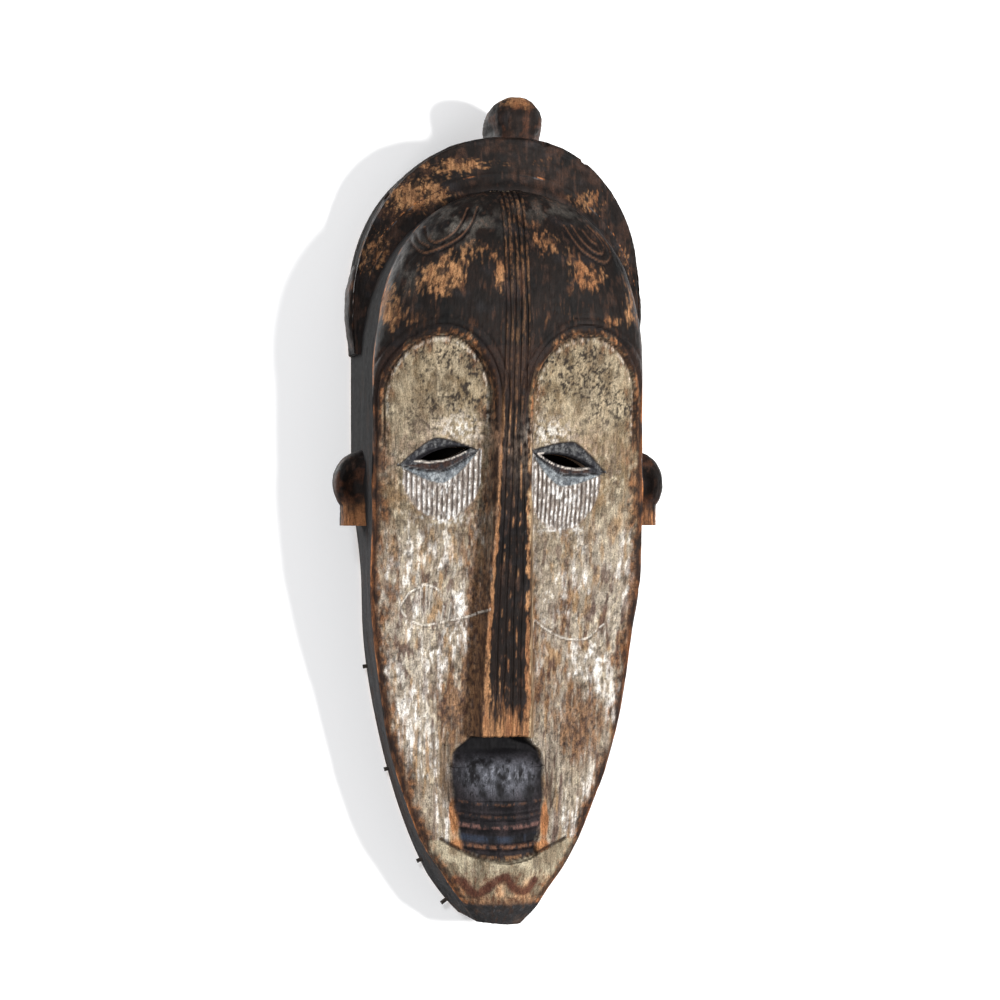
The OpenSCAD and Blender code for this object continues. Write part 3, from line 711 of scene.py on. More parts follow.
def face_paint(x, d, h):
    """The colour and the roughness of every point of the face's outer skin."""
    p = Spot(x, d, h)
    relief = face_relief(x, h, d)
    c, worn = forehead_paint(p)
    c = panel_paint(nose_paint(c, p), p)
    c = eye_paint(c, x, h, p.fine)
    c = mouth_paint(c, x, d, h, p.fine, p.mid, p.streak, p.bare)
    c = cut_lines_paint(c, p)
    # wear on what stands proud; darker in what is cut deep
    proud = ease(0.5, 1.3, relief) * ease(0.35, 0.65, p.fine) * (1 - p.covered)
    c = lay(c, p.bare, 0.35 * proud)
    c = c * mix(1, 0.55, ease(0.9, 2.6, -relief) * (1 - 0.5 * p.covered))[:, None]
    c, wall = wall_paint(c, p)
    rough = mix(mix(0.60, 0.86, p.covered) + 0.14 * worn * (1 - p.covered), 0.9, wall)
    rough = rough - 0.2 * mouth_here(x, h) * (h > 52)
    return c, np.clip(rough + (p.fine - 0.5) * 0.3, 0.25, 0.95)


# ------------------------------------------------------------------ meshes
def skin(name, rings):
    """A closed skin over rings of (x, d, h) points in millimetres, its ends closed from their middles."""
    k, n = rings.shape[:2]
    p = np.vstack([rings.reshape(-1, 3), rings[0].mean(0), rings[-1].mean(0)])
    i, m = np.arange(n), (np.arange(n) + 1) % n
    row = (np.arange(k - 1) * n)[:, None]
    a, b = (row + i).ravel(), (row + m).ravel()
    quads = np.stack([a, b, b + n, a + n], 1)
    low = np.stack([np.full(n, k * n), m, i], 1)
    high = np.stack([np.full(n, k * n + 1), (k - 1) * n + i, (k - 1) * n + m], 1)
    # turned inside out if its volume comes out negative
    q = p * [1, -1, 1]
    volume = np.einsum("ij,ij->i", q[a] - q[0], np.cross(q[b] - q[0], q[b + n] - q[0])).sum()
    volume += np.einsum("ij,ij->i", q[a] - q[0], np.cross(q[b + n] - q[0], q[a + n] - q[0])).sum()
    if volume < 0:
        quads, low, high = quads[:, ::-1], low[:, ::-1], high[:, ::-1]
    mesh = bpy.data.meshes.new(name)
    mesh.vertices.add(len(p))
    mesh.vertices.foreach_set("co", (np.stack([p[:, 0], -p[:, 1], p[:, 2] - HANG_H], 1) / 1000).ravel())
    loops = np.concatenate([quads.ravel(), low.ravel(), high.ravel()])
    starts = np.concatenate([np.arange(len(quads)) * 4, len(quads) * 4 + np.arange(2 * n) * 3])
    mesh.loops.add(len(loops))
    mesh.loops.foreach_set("vertex_index", loops.astype(np.int32))
    mesh.polygons.add(len(starts))
    mesh.polygons.foreach_set("loop_start", starts.astype(np.int32))
    mesh.polygons.foreach_set("use_smooth", np.full(len(starts), True))
    mesh.update(calc_edges=True)
    obj = bpy.data.objects.new(name, mesh)
    bpy.context.scene.collection.objects.link(obj)
    return obj


def outward(rings):
    """Unit normals of a grid of rings, in (x, d, h)."""
    p = rings * [1, -1, 1]
    along = np.roll(p, -1, 1) - np.roll(p, 1, 1)
    up = np.gradient(p, axis=0)
    normal = np.cross(along, up)
    normal /= np.maximum(1e-9, np.linalg.norm(normal, axis=2, keepdims=True))
    return normal * [1, -1, 1]


def carve(obj, cutters):
    """Cuts the other objects out of this one and deletes them."""
    for cutter in cutters:
        modifier = obj.modifiers.new("cut", "BOOLEAN")
        modifier.operation = "DIFFERENCE"
        modifier.solver = "MANIFOLD"
        modifier.object = cutter
        bpy.context.view_layer.update()
        done = bpy.data.meshes.new_from_object(obj.evaluated_get(bpy.context.evaluated_depsgraph_get()))
        obj.modifiers.clear()
        obj.data = done
    for cutter in cutters:
        bpy.data.objects.remove(cutter)
    return obj


def make_pocket():
    """A cutter for the hanger's pocket, with slightly uneven sides."""
    s = np.linspace(0, 1, 14)
    x0, x1, d0, d1 = -POCKET_HALF, POCKET_HALF, -3, POCKET_D
    ring = [(mix(x0, x1, t), d0) for t in s] + [(x1, mix(d0, d1, t)) for t in s[1:]]
    ring += [(mix(x1, x0, t), d1) for t in s[1:]] + [(x0, mix(d1, d0, t)) for t in s[1:-1]]
    heights = np.linspace(POCKET_LOW, POCKET_HIGH, 28)
    rings = np.array([[(x, d, h) for x, d in ring] for h in heights])
    x, d, h = np.moveaxis(rings, -1, 0)
    shake = [fbm(x, d, h, 6, 6, 9, 71 + k, 2) - 0.5 for k in range(3)]
    rings += 0.5 * np.stack(shake, -1) * [1, 1, 0.6]
    return skin("pocket", rings)


def points_of(obj):
    """The vertices of a mesh as x, depth and height in millimetres."""
    co = np.empty(len(obj.data.vertices) * 3)
    obj.data.vertices.foreach_get("co", co)
    co = co.reshape(-1, 3) * 1000
    return co[:, 0], -co[:, 1], co[:, 2] + HANG_H


def store_paint(obj, colour, rough):
    colour = np.clip(colour, 0, 1)
    data = np.concatenate([colour, np.ones((len(colour), 1))], 1).astype(np.float32)
    obj.data.attributes.new("paint", "FLOAT_COLOR", "POINT").data.foreach_set("color", data.ravel())
    obj.data.attributes.new("rough", "FLOAT", "POINT").data.foreach_set("value", rough.astype(np.float32))


def mark_slots(obj, other):
    """Puts the faces for which other(x, d, h) holds at their middle in material slot 1."""
    mid = np.empty(len(obj.data.polygons) * 3)
    obj.data.polygons.foreach_get("center", mid)
    mid = mid.reshape(-1, 3) * 1000
    index = other(mid[:, 0], -mid[:, 1], mid[:, 2] + HANG_H).astype(np.int32)
    obj.data.polygons.foreach_set("material_index", index)


def sharpen(obj, degrees):
    """Smooth shading with sharp edges past an angle."""
    obj.data.set_sharp_from_angle(angle=math.radians(degrees))


# ------------------------------------------------------------------ the face
def skew(x, d, h):
    """How the carving strays from a mirror image: a shift and a scale of x, from back to front."""
    right = x > 0
    front_share = np.clip(d / edge_d(h), 0, 1.3)
    shift = -0.6 * ease(165, 240, h) * (1 - ease(400, 440, h))
    shift = shift + 2.0 * ease(22, 45, h) * (1 - ease(60, 150, h))
    trim = 6.9 * np.exp(-(((h - 68) / 46) ** 2)) + 1.6 * np.exp(-(((h - 215) / 28) ** 2))
    wide = 2.8 * ease(280, 330, h) * (1 - ease(400, 450, h))
    scale = 1 - np.where(right, trim, 0) * front_share / edge_x(h) + wide * front_share / edge_x(h)
    # the side walls bow in behind the cheeks
    back = np.where(right, 0.8, 4.0) * np.exp(-(((h - 262) / 42) ** 2))
    scale = scale - back * (1 - np.minimum(1, front_share)) / edge_x(h)
    return shift * front_share, scale


def face_rings(rows, walls, columns):
    """The plain face: a ring of (x, d, h) points at each height, wall, front and wall."""
    fine = np.linspace(0.4, BROW_H, int(rows * 0.77))
    top = BROW_H + (FACE_H - BROW_H) * np.sin(np.radians(np.linspace(0.3, 86.5, int(rows * 0.23))))
    h = np.concatenate([fine, top])[:, None]
    s = np.linspace(-1, 1, columns)[None, :]
    s = s * (0.74 + 0.26 * s * s)
    t = (1 - (1 - np.linspace(0, 1, walls + 1)[:-1]) ** 1.8)[None, :]
    side_x, side_d = mix(rim_x(h), edge_x(h), t), edge_d(h) * t
    x = edge_x(h) * s
    d = front(x, h) - face_cut(x, h)
    hh = np.broadcast_to(h, (len(h), columns))
    hw = np.broadcast_to(h, side_x.shape)
    left = np.stack([-side_x, side_d, hw], -1)
    right = np.stack([side_x, side_d, hw], -1)[:, ::-1]
    rings = np.concatenate([left, np.stack([x, d, hh], -1), right], 1)
    return rings


def make_face():
    walls = 30
    rings = face_rings(560, walls, 340)
    # wears the sharp front edge round, more in some places than in others
    x, d, h = rings[..., 0], rings[..., 1], rings[..., 2]
    wear = 0.35 + 0.65 * ease(0.4, 0.65, noise(x * 0 + np.sign(x), d * 0, h, 9, 9, 16, 31))
    n = rings.shape[1]
    place = np.arange(n)
    corner = np.minimum(np.abs(place - walls), np.abs(place - (n - 1 - walls)))
    soft = np.exp(-((corner / 3.2) ** 2))[None, :, None] * wear[..., None] * 0.8
    soft = soft * (place > 6)[None, :, None] * (place < n - 7)[None, :, None]
    for k in (4, 2):
        rings = mix(rings, (np.roll(rings, k, 1) + np.roll(rings, -k, 1)) / 2, soft)
    normal = outward(rings)
    x, d, h = rings[..., 0], rings[..., 1], rings[..., 2]
    flat = [c.ravel() for c in (x, h, d)]
    relief = face_relief(*flat).reshape(x.shape)
    on_front = ((place >= walls) & (place < n - walls))[None, :]
    nicks = 0.5 * ease(0.7, 0.8, noise(x, d, h, 4, 7, 14, 53)) * (d > 6)
    side = (-0.5 * fbm(x, d, h, 9, 12, 24, 51, 3) - nicks) * np.minimum(1, d / 4)
    rings = rings + normal * np.where(on_front, relief * ease(0, 3, corner[None, :] + 0.5), side)[..., None]
    shift, scale = skew(x, d, h)
    rings[..., 0] = rings[..., 0] * scale + shift
    # the end of the chin was cut a little askew
    rings[..., 2] += np.maximum(0, 1 - rings[..., 2] / 34) * (2.4 - 0.07 * rings[..., 0])
    rings[..., 1] = np.maximum(rings[..., 1], 0)
    face = skin("mask_face", rings)
    return carve(face, [make_hollow(), *[make_slit(e) for e in EYES], make_pocket()])


def make_hollow():
    """The hollow as the adze left it."""
    up = HOLLOW_HIGH + HOLLOW_RISE * np.sin(np.radians(np.linspace(0, 86, 60)))
    down = HOLLOW_LOW - HOLLOW_DROP * np.sin(np.radians(np.linspace(86, 0, 40)))
    heights = np.concatenate([down, np.linspace(123, 297, 70), up])[:, None]
    v = np.sin(np.linspace(-1, 1, 140) * math.pi / 2)[None, :]
    x = hollow_x(heights) * v
    d = hollow_d(heights) * arch(v, 3, 2.2)
    h = np.broadcast_to(heights, x.shape)
    rings = np.stack([x, d, h], -1)
    normal = outward(rings)
    ridge = np.abs((noise(x, d, h, 15, 15, 24, 91) * 5) % 1 - 0.5) * 2
    bite = 2.6 * (ridge - 0.5) + 1.2 * (fbm(x, d, h, 20, 20, 34, 93, 2) - 0.5)
    rings = rings - normal * (bite + 0.6)[..., None] * np.minimum(1, d / 5)[..., None]
    back = [rings[:, :1] * [1, 0, 1] + [0, -3, 0], rings[:, -1:] * [1, 0, 1] + [0, -3, 0]]
    return skin("hollow", np.concatenate([back[0], rings, back[1]], 1))


def make_slit(e):
    """A lens through the face, at the eye's slit."""
    a = math.radians(EYE_TILT)
    s = np.linspace(-1, 1, 41)
    lens = [(EYE_LEN / 2 * t, EYE_GAP / 2 * (1 - t * t) + 0.02) for t in s]
    lens += [(EYE_LEN / 2 * t, -EYE_GAP / 2 * (1 - t * t) - 0.02) for t in s[::-1]]
    ring = [(e["slit"][0] + e["side"] * (u * math.cos(a) + v * math.sin(a)),
             e["slit"][1] - u * math.sin(a) + v * math.cos(a)) for u, v in lens]
    depths = np.linspace(20, 200, 60)
    rings = np.array([[(x, d, h) for x, h in ring] for d in depths])
    return skin("slit", rings)


def in_hollow(x, d, h):
    """True on what the carving left bare: the hollow, the hanger's pocket and the flat back rim."""
    inside = (np.abs(x) < hollow_x(h) + 2.5) & (d < hollow_d(h) + 2.5) & (h > 42) & (h < 481)
    pocket = (np.abs(x) < 15.6) & (d < 7.6) & (h > 487)
    return inside | pocket | (d < 0.5)


face = make_face()
x, d, h = points_of(face)
shift, scale = skew(x, d, h)
store_paint(face, *face_paint((x - shift) / scale, d, h))
sharpen(face, 42)
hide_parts("face_shell")


# ------------------------------------------------------------------ the headdress
def inner_arch(t):
    a = math.pi / 2 * np.where(t > 1, 2 - t, t)
    p = 2 / 2.2
    s = np.where(t > 1, -1, 1)
    return s * (HALF_W + 0.45) * np.cos(a) ** p, BROW_H + (FACE_H + 0.45 - BROW_H) * np.sin(a) ** p


def outer_arch(t):
    b = -22 + 112 * np.where(t > 1, 2 - t, t)
    p = 2 / 2.2
    s = np.where(t > 1, -1, 1)
    r = np.radians(np.maximum(b, 0))
    q = np.minimum(b, 0) / -22
    x = np.where(b < 0, mix(DRESS_W / 2, HALF_W + 2, q * q), DRESS_W / 2 * np.maximum(0, np.cos(r)) ** p)
    h = np.where(b < 0, mix(SPRING_H, BROW_H + 1, q), SPRING_H + (DRESS_H - SPRING_H) * np.sin(r) ** p)
    return s * x, h


def make_headdress():
    """The band: its section, from the inner arch at 0 to the outer at 1, swept round the forehead."""
    corners = [(0, 0), (0, 1), (0.12, 0.985), (0.35, 0.955), (0.7, 0.945), (0.93, 0.935),
               (0.99, 0.9), (1, 0.86), (1, 0.45), (0.95, 0.12), (0.85, 0)]
    counts = [16, 8, 12, 16, 12, 5, 4, 22, 14, 8]
    section = []
    for (a, b), count in zip(zip(corners, corners[1:]), counts):
        section += [(mix(a[0], b[0], s), mix(a[1], b[1], s)) for s in np.arange(count) / count]
    section.append(corners[-1])
    k, share = np.array(section).T
    t = np.linspace(0, 2, 420)[:, None]
    (xi, hi), (xo, ho) = inner_arch(t), outer_arch(t)
    x, h = mix(xi, xo, k[None, :]), mix(hi, ho, k[None, :])
    d = share[None, :] * dress_d(x)
    rings = np.stack([x, d, h], -1)
    normal = outward(rings)
    if np.sum(normal[:, len(counts) * 3, 1]) < 0:
        normal = -normal
    cut = 1.2 * (fbm(x, d, h, 16, 16, 12, 151, 3) - 0.5) + 0.7 * (fbm(x, d, h, 4, 4, 4, 153, 2) - 0.5)
    chips = 1.4 * ease(0.66, 0.8, noise(x, d, h, 7, 7, 6, 155)) * groove(k - 0.97, 0.2)[None, :]
    chips = chips * (share > 0.8)[None, :]
    lip = 0.8 * groove(k - 0.90, 0.12) * (share > 0.8)
    band = 1.0 * groove(k - 0.2, 0.22) * (share > 0.8)
    outside = ((k > 0.98) | (share > 0.8)) & (k > 0.01)
    move = (cut - 0.6) * outside * np.minimum(1, np.maximum(0, d - 1) / 5) + (lip - band)[None, :] - chips
    rings = rings + normal * move[..., None]
    # its inner front corner runs into the face, and the band leans a little to the right
    tuck = (1 - ease(0.0, 0.12, k)) * ease(0.2, 0.9, share) * 7.0
    far = np.hypot(x, h - BROW_H)
    rings[..., 0] -= tuck * x / far
    rings[..., 2] -= tuck * (h - BROW_H) / far * ease(BROW_H, 440, h)
    rings[..., 0] += 2.2 * ease(0.3, 1.0, k) * ease(440, 520, h) * np.minimum(1, d / 20)
    rings[..., 1] = np.maximum(rings[..., 1], 0)
    obj = skin("mask_headdress", rings)
    return carve(obj, [make_pocket()])


def dress_paint(x, d, h):
    """Black over the headdress, rubbed on its front and worn to ochre along its outer rim."""
    r = radial(x, h)
    fine = fbm(x, d, h, 2.2, 2.2, 2.6, 161, 3)
    mid = fbm(x, d, h, 9, 9, 9, 163, 3)
    around = fbm(np.arctan2(h - ARCH_MIDDLE_H, x) * 90, d * 0.3, r * 60, 20, 9, 5, 165, 3)
    c = black_paint(x, d, h, 3)
    bare = wood(x, d, h, 3)
    top = d > dress_d(x) * 0.82
    rubbed = 0.42 * np.clip(1.2 * spots(x, h, DRESS_BARE), 0, 1)
    worn = ease(0.61, 0.75, rubbed + 0.40 * fine + 0.30 * around + 0.2 * mid - 0.07)
    worn = worn * (1 - 0.85 * ease(0.53, 0.62, fbm(x, d, h, 4, 4, 4, 167, 3)))
    c = lay(c, bare * 0.9, worn * np.where(top, 0.95, 0.35))
    c = lay(c, rgb(72, 48, 36), 0.35 * ease(0.5, 0.7, mid) * top)
    rim = groove(r - 0.97, 0.14) * (d > dress_d(x) * 0.8) * ease(430, 480, h)
    c = lay(c, tones((104, 62, 36), (186, 118, 70), 0.35, 0.65, fine), rim * ease(0.32, 0.5, mid))
    seat = groove(r - 0.10, 0.24) * top
    c = lay(c, rgb(12, 10, 11), seat * 0.9)
    # dust and painted sheen: a grey arc along the band just outside its seat
    dusty_sheen = groove(r - 0.24, 0.26) * top * ease(0.40, 0.65, mid) * ease(470, 520, h)
    c = lay(c, rgb(92, 94, 98), dusty_sheen * 0.6)
    grey = mix(rgb(7, 6, 6), rgb(22, 20, 20), mid[:, None])
    c = lay(c, lay(grey, rgb(52, 34, 24), 0.6 * ease(0.6, 0.75, fine)), (d < dress_d(x) * 0.78) * 0.85)
    return c, np.clip(np.where(top, 0.58, 0.85) + 0.2 * worn + (fine - 0.5) * 0.3, 0.3, 0.95)


def radial(x, h):
    """0 at the headdress's inner arch and 1 at its outer one."""
    t = np.linspace(0, 2, 401)
    (xi, hi), (xo, ho) = inner_arch(t), outer_arch(t)
    angle = np.arctan2(h - ARCH_MIDDLE_H, x)
    a = np.arctan2(hi - ARCH_MIDDLE_H, xi)
    b = np.arctan2(ho - ARCH_MIDDLE_H, xo)
    inner = np.interp(angle, a, np.hypot(xi, hi - ARCH_MIDDLE_H))
    outer = np.interp(angle, b, np.hypot(xo, ho - ARCH_MIDDLE_H))
    return (np.hypot(x, h - ARCH_MIDDLE_H) - inner) / np.maximum(1, outer - inner)


# ------------------------------------------------------------------ crests and ears
def rounded(cx, cd, half_x, half_d, power, count):
    """A ring like a rounded box."""
    a = np.linspace(0, 2 * math.pi, count, endpoint=False)
    c, s = np.cos(a), np.sin(a)
    x = cx + half_x * np.sign(c) * np.abs(c) ** (2 / power)
    return x, cd - half_d * np.sign(s) * np.abs(s) ** (2 / power)


def stack(name, levels, shape, seed, rough, edit=None):
    """A carved lump: a rounded outline at each height, then blade marks all over it."""
    rings = []
    for h in levels:
        x, d = shape(h)
        rings.append(np.stack([x, d, np.full(x.shape, h)], -1))
    rings = np.array(rings)
    normal = outward(rings)
    x, d, h = rings[..., 0], rings[..., 1], rings[..., 2]
    mark = fbm(x, d, h, 9, 9, 9, seed, 3) - 0.62
    facet = np.abs((noise(x, d, h, 12, 12, 12, seed + 5) * 4) % 1 - 0.5) - 0.4
    rings = rings + normal * (rough * (mark + 0.35 * facet))[..., None]
    if edit is not None:
        rings = edit(rings)
    return skin(name, rings)


def crest_shape(h):
    half = 21.5 if h <= 585.5 else math.sqrt(max(0.6, 20.5**2 - (h - 585.5) ** 2)) + 0.6
    front_d = 75.0 if h <= 592 else 61 + math.sqrt(max(0.5, 14.0**2 - (h - 592) ** 2))
    back_d = mix(61, 8, min(1, math.sqrt(max(0, 606 - h) / 32)))
    neck = 1.5 * math.exp(-(((h - 577) / 5) ** 2))
    half_d = max(2, (front_d - back_d) / 2)
    return rounded(7 + 3.2 * ease(566, 580, h), (front_d + back_d) / 2, half - neck, half_d, 2.6, 96)


def crest_edit(rings):
    """A hollow at the foot of the crest, on the left, and a split along its top."""
    x, d, h = rings[..., 0], rings[..., 1], rings[..., 2]
    hole = np.exp(-(((x + 13) / 7) ** 2) - ((h - 580) / 8) ** 2) * ease(30, 60, d)
    rings[..., 0] += 4.5 * hole
    rings[..., 1] -= 3.0 * hole + 0.8 * groove(x - 4 + 1.5 * np.sin(h / 4), 1.6) * ease(55, 70, d)
    return rings


def side_crest_shape(side):
    def shape(h):
        v = h - 451
        outer = 111 - v * v / 180 - 0.5
        half_d = min(15.0, math.sqrt(max(1.0, 34.0**2 - v * v)))
        return rounded(side * (outer + 96) / 2, 22, (outer - 96) / 2, half_d, 3.2, 72)
    return shape


def ear_shape(side):
    def shape(h):
        v = h - 321
        reach = 97 + 25 * math.cos(math.asin(max(-0.99, min(0.99, (v - 3) / 25)))) if v > -13 else 116.4
        half_d = 16.0 if v < 12 else math.sqrt(max(3.0, 16.4**2 - (v - 12) ** 2))
        return rounded(side * (reach + 86) / 2, 47, (reach - 86) / 2, half_d, 3.4, 110)
    return shape


def ear_edit(side):
    def edit(rings):
        """The hollow in the front of the ear."""
        middle = np.array([side * 106.5, 70, 323])
        to = rings - middle
        far = np.linalg.norm(to / [1, 1, 1.25], axis=2, keepdims=True)
        push = np.where(far < 14, to / np.maximum(far, 0.01) * 14 - to, 0)
        return rings + push * [0.15, 1, 0.15] * (np.abs(push[..., 1:2]) < 20)
    return edit


def lump_paint(x, d, h, seed, wear):
    """Black, worn through where wear is high."""
    fine = fbm(x, d, h, 2.2, 2.2, 3.2, seed, 3)
    mid = fbm(x, d, h, 8, 8, 9, seed + 3, 3)
    worn = ease(0.5, 0.72, 0.5 * wear + 0.34 * fine + 0.3 * mid)
    c = lay(black_paint(x, d, h, seed), wood(x, d, h, seed), worn)
    c = lay(c, rgb(84, 50, 32), 0.5 * ease(0.5, 0.7, mid))
    return c, np.clip(0.62 + (fine - 0.5) * 0.4 + 0.2 * wear, 0.3, 0.95)


def spread(a, b, count):
    """Heights from a to b, closer together at both ends."""
    return mix(a, b, (1 - np.cos(np.linspace(0, math.pi, count))) / 2)


headdress = make_headdress()
x, d, h = points_of(headdress)
store_paint(headdress, *dress_paint(x, d, h))
sharpen(headdress, 42)
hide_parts("headdress")

crest = stack("mask_top_crest", spread(564.2, 605.6, 76), crest_shape, 171, 1.8, crest_edit)
x, d, h = points_of(crest)
store_paint(crest, *lump_paint(x, d, h, 171, 0.6 * ease(588, 603, h) * ease(50, 68, d) + 0.08))
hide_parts("top_crest")
lumps = [crest]
for side, word in ((-1, "left"), (1, "right")):
    lobe = stack(f"mask_side_crest_{word}", spread(418, 484, 60), side_crest_shape(side), 181 + side, 1.4)
    x, d, h = points_of(lobe)
    store_paint(lobe, *lump_paint(x, d, h, 181, 0.25 * ease(0, 1, d > 34)))
    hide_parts(f"side_crest_{word}")
    levels = spread(293.4, 348.6, 90)
    ear = stack(f"mask_ear_{word}", levels, ear_shape(side), 191 + side, 1.5, ear_edit(side))
    x, d, h = points_of(ear)
    low = ease(314, 300, h + 16 * (fbm(x, d, h, 6, 6, 10, 195, 3) - 0.5) + 0.4 * (np.abs(x) - 108))
    colour, rough = lump_paint(x, d, h, 191, 0.35 * low)
    foot = tones((58, 36, 24), (164, 112, 74), 0.3, 0.7, fbm(x, d, h, 2, 2, 14, 197, 3))
    colour = lay(colour, foot, low * ease(46, 58, d) * 0.85)
    store_paint(ear, colour, rough)
    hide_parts(f"ear_{word}")
    lumps += [lobe, ear]
for piece in lumps:
    sharpen(piece, 50)
for piece in (face, headdress, *lumps):
    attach(piece, "mask")


# ------------------------------------------------------------------ materials
class Nodes:
    """A small helper to lay out a material's nodes."""

    def __init__(self, name):
        self.mat = bpy.data.materials.new(name)
        self.mat.use_nodes = True
        self.tree = self.mat.node_tree
        self.shader = self.tree.nodes["Principled BSDF"]
        self.where = self.add("ShaderNodeTexCoord").outputs["Object"]

    def add(self, kind, **settings):
        node = self.tree.nodes.new(kind)
        for key, value in settings.items():
            setattr(node, key, value)
        return node

    def link(self, a, b):
        self.tree.links.new(a, b)

    def noise(self, scale, detail, stretch, rough):
        place = self.add("ShaderNodeMapping")
        place.inputs["Scale"].default_value = stretch
        self.link(self.where, place.inputs["Vector"])
        n = self.add("ShaderNodeTexNoise")
        n.inputs["Scale"].default_value = scale
        n.inputs["Detail"].default_value = detail
        n.inputs["Roughness"].default_value = rough
        self.link(place.outputs[0], n.inputs["Vector"])
        return n.outputs["Fac"]

    def ramp(self, value, stops):
        r = self.add("ShaderNodeValToRGB")
        while len(r.color_ramp.elements) < len(stops):
            r.color_ramp.elements.new(0.5)
        for element, (place, colour) in zip(r.color_ramp.elements, stops):
            element.position = place
            element.color = (*colour, 1)
        self.link(value, r.inputs["Fac"])
        return r.outputs["Color"]

    def blend(self, a, b, how, amount):
        m = self.add("ShaderNodeMix", data_type="RGBA", blend_type=how)
        m.inputs["Factor"].default_value = amount
        self.link(a, m.inputs["A"])
        self.link(b, m.inputs["B"])
        return m.outputs["Result"]

    def math(self, a, b, how):
        m = self.add("ShaderNodeMath", operation=how)
        self.link(a, m.inputs[0])
        if isinstance(b, float):
            m.inputs[1].default_value = b
        else:
            self.link(b, m.inputs[1])
        return m.outputs[0]

    def bump(self, height, distance, strength, under=None):
        b = self.add("ShaderNodeBump")
        b.inputs["Distance"].default_value = distance
        b.inputs["Strength"].default_value = strength
        self.link(height, b.inputs["Height"])
        if under is not None:
            self.link(under, b.inputs["Normal"])
        return b.outputs["Normal"]


def grey(v):
    return (v, v, v)


def painted_wood(name):
    """Old paint on carved wood: the stored coats, with flecks whose bright end is a painted glint, grain and
    fine cracks on top.
    """
    n = Nodes(name)
    paint = n.add("ShaderNodeAttribute", attribute_name="paint").outputs["Color"]
    rough = n.add("ShaderNodeAttribute", attribute_name="rough").outputs["Fac"]
    fleck_and_glint = n.noise(1500, 5, (1, 1, 0.6), 0.7)
    grain = n.noise(700, 5, (1, 1, 0.07), 0.6)
    mottle = n.noise(230, 4, (1, 1, 0.6), 0.6)
    # painted glints: the bright end of the flecks' ramp lightens the paint in tiny highlight-like spots
    tone = n.blend(n.ramp(fleck_and_glint, [(0.34, grey(0.30)), (0.5, grey(1.0)), (0.68, grey(1.55))]),
                   n.ramp(grain, [(0.34, grey(0.5)), (0.55, grey(1.0)), (0.7, grey(1.25))]), "MULTIPLY", 0.85)
    tone = n.blend(tone, n.ramp(mottle, [(0.3, grey(0.8)), (0.7, grey(1.1))]), "MULTIPLY", 0.8)
    n.link(n.blend(paint, tone, "MULTIPLY", 1.0), n.shader.inputs["Base Color"])
    n.link(n.math(rough, n.math(fleck_and_glint, 0.16, "MULTIPLY"), "ADD"), n.shader.inputs["Roughness"])
    coarse = n.bump(grain, 0.0006, 0.55)
    n.link(n.bump(fleck_and_glint, 0.0004, 0.5, coarse), n.shader.inputs["Normal"])
    n.shader.inputs["Specular IOR Level"].default_value = 0.16
    return n.mat


def raw_wood(name, dark, light, length=(1, 1, 0.08)):
    """Bare wood: long grain, pores and grime."""
    n = Nodes(name)
    grain = n.noise(420, 6, length, 0.65)
    big = n.noise(24, 3, (1, 1, 0.4), 0.6)
    pore = n.noise(1900, 3, length, 0.6)
    colour = n.ramp(grain, [(0.3, dark), (0.5, mix(np.array(dark), np.array(light), 0.6)), (0.72, light)])
    colour = n.blend(colour, n.ramp(big, [(0.35, grey(0.55)), (0.65, grey(1.0))]), "MULTIPLY", 0.8)
    colour = n.blend(colour, n.ramp(pore, [(0.32, grey(0.35)), (0.42, grey(1.0))]), "MULTIPLY", 0.7)
    n.link(colour, n.shader.inputs["Base Color"])
    n.link(n.ramp(grain, [(0.3, grey(0.9)), (0.7, grey(0.66))]), n.shader.inputs["Roughness"])
    n.link(n.bump(pore, 0.0004, 0.5, n.bump(grain, 0.0008, 0.6)), n.shader.inputs["Normal"])
    return n.mat


def metal(name, bright, dull, rough):
    """Old plated metal: brushed, with dull stains."""
    n = Nodes(name)
    stain = n.noise(300, 5, (1, 1, 1), 0.6)
    brush = n.noise(2500, 3, (0.05, 1, 1), 0.6)
    n.link(n.ramp(stain, [(0.38, dull), (0.6, bright)]), n.shader.inputs["Base Color"])
    n.link(n.ramp(stain, [(0.35, grey(rough + 0.3)), (0.65, grey(rough))]), n.shader.inputs["Roughness"])
    n.link(n.bump(brush, 0.0002, 0.25), n.shader.inputs["Normal"])
    n.shader.inputs["Metallic"].default_value = 1.0
    return n.mat


hollow_wood = raw_wood("hollow_wood", (0.085, 0.045, 0.022), (0.33, 0.20, 0.105))
dowel_wood = raw_wood("dowel_wood", (0.25, 0.15, 0.08), (0.55, 0.38, 0.22), (1, 1, 1))
peg_wood = raw_wood("peg_wood", (0.012, 0.009, 0.008), (0.05, 0.032, 0.022), (1, 1, 1))
zinc = metal("zinc", (0.62, 0.63, 0.64), (0.30, 0.30, 0.30), 0.32)
brass = metal("brass", (0.72, 0.53, 0.24), (0.36, 0.25, 0.12), 0.28)

for piece in (face, headdress):
    piece.data.materials.clear()
    piece.data.materials.append(painted_wood(piece.name + "_paint"))
    piece.data.materials.append(hollow_wood)
mark_slots(face, in_hollow)
mark_slots(headdress, lambda x, d, h: ((d < 7.3) & (np.abs(x) < 15.5)) | (d < 0.4))
for piece in lumps:
    piece.data.materials.append(painted_wood(piece.name + "_paint"))
FINISHES = {
    "ear_dowels": dowel_wood, "crest_dowel": dowel_wood, "side_crest_dowels": dowel_wood,
    "headdress_dowels": dowel_wood, "fringe_pegs": peg_wood, "hanger_strap": zinc,
    "hanger_screws": brass, "hanger_ring": zinc,
}
for node, finish in FINISHES.items():
    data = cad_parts[node].data
    data.materials.clear()
    data.materials.append(finish)

# ------------------------------------------------------------------ wall, lights and camera
scene = bpy.context.scene


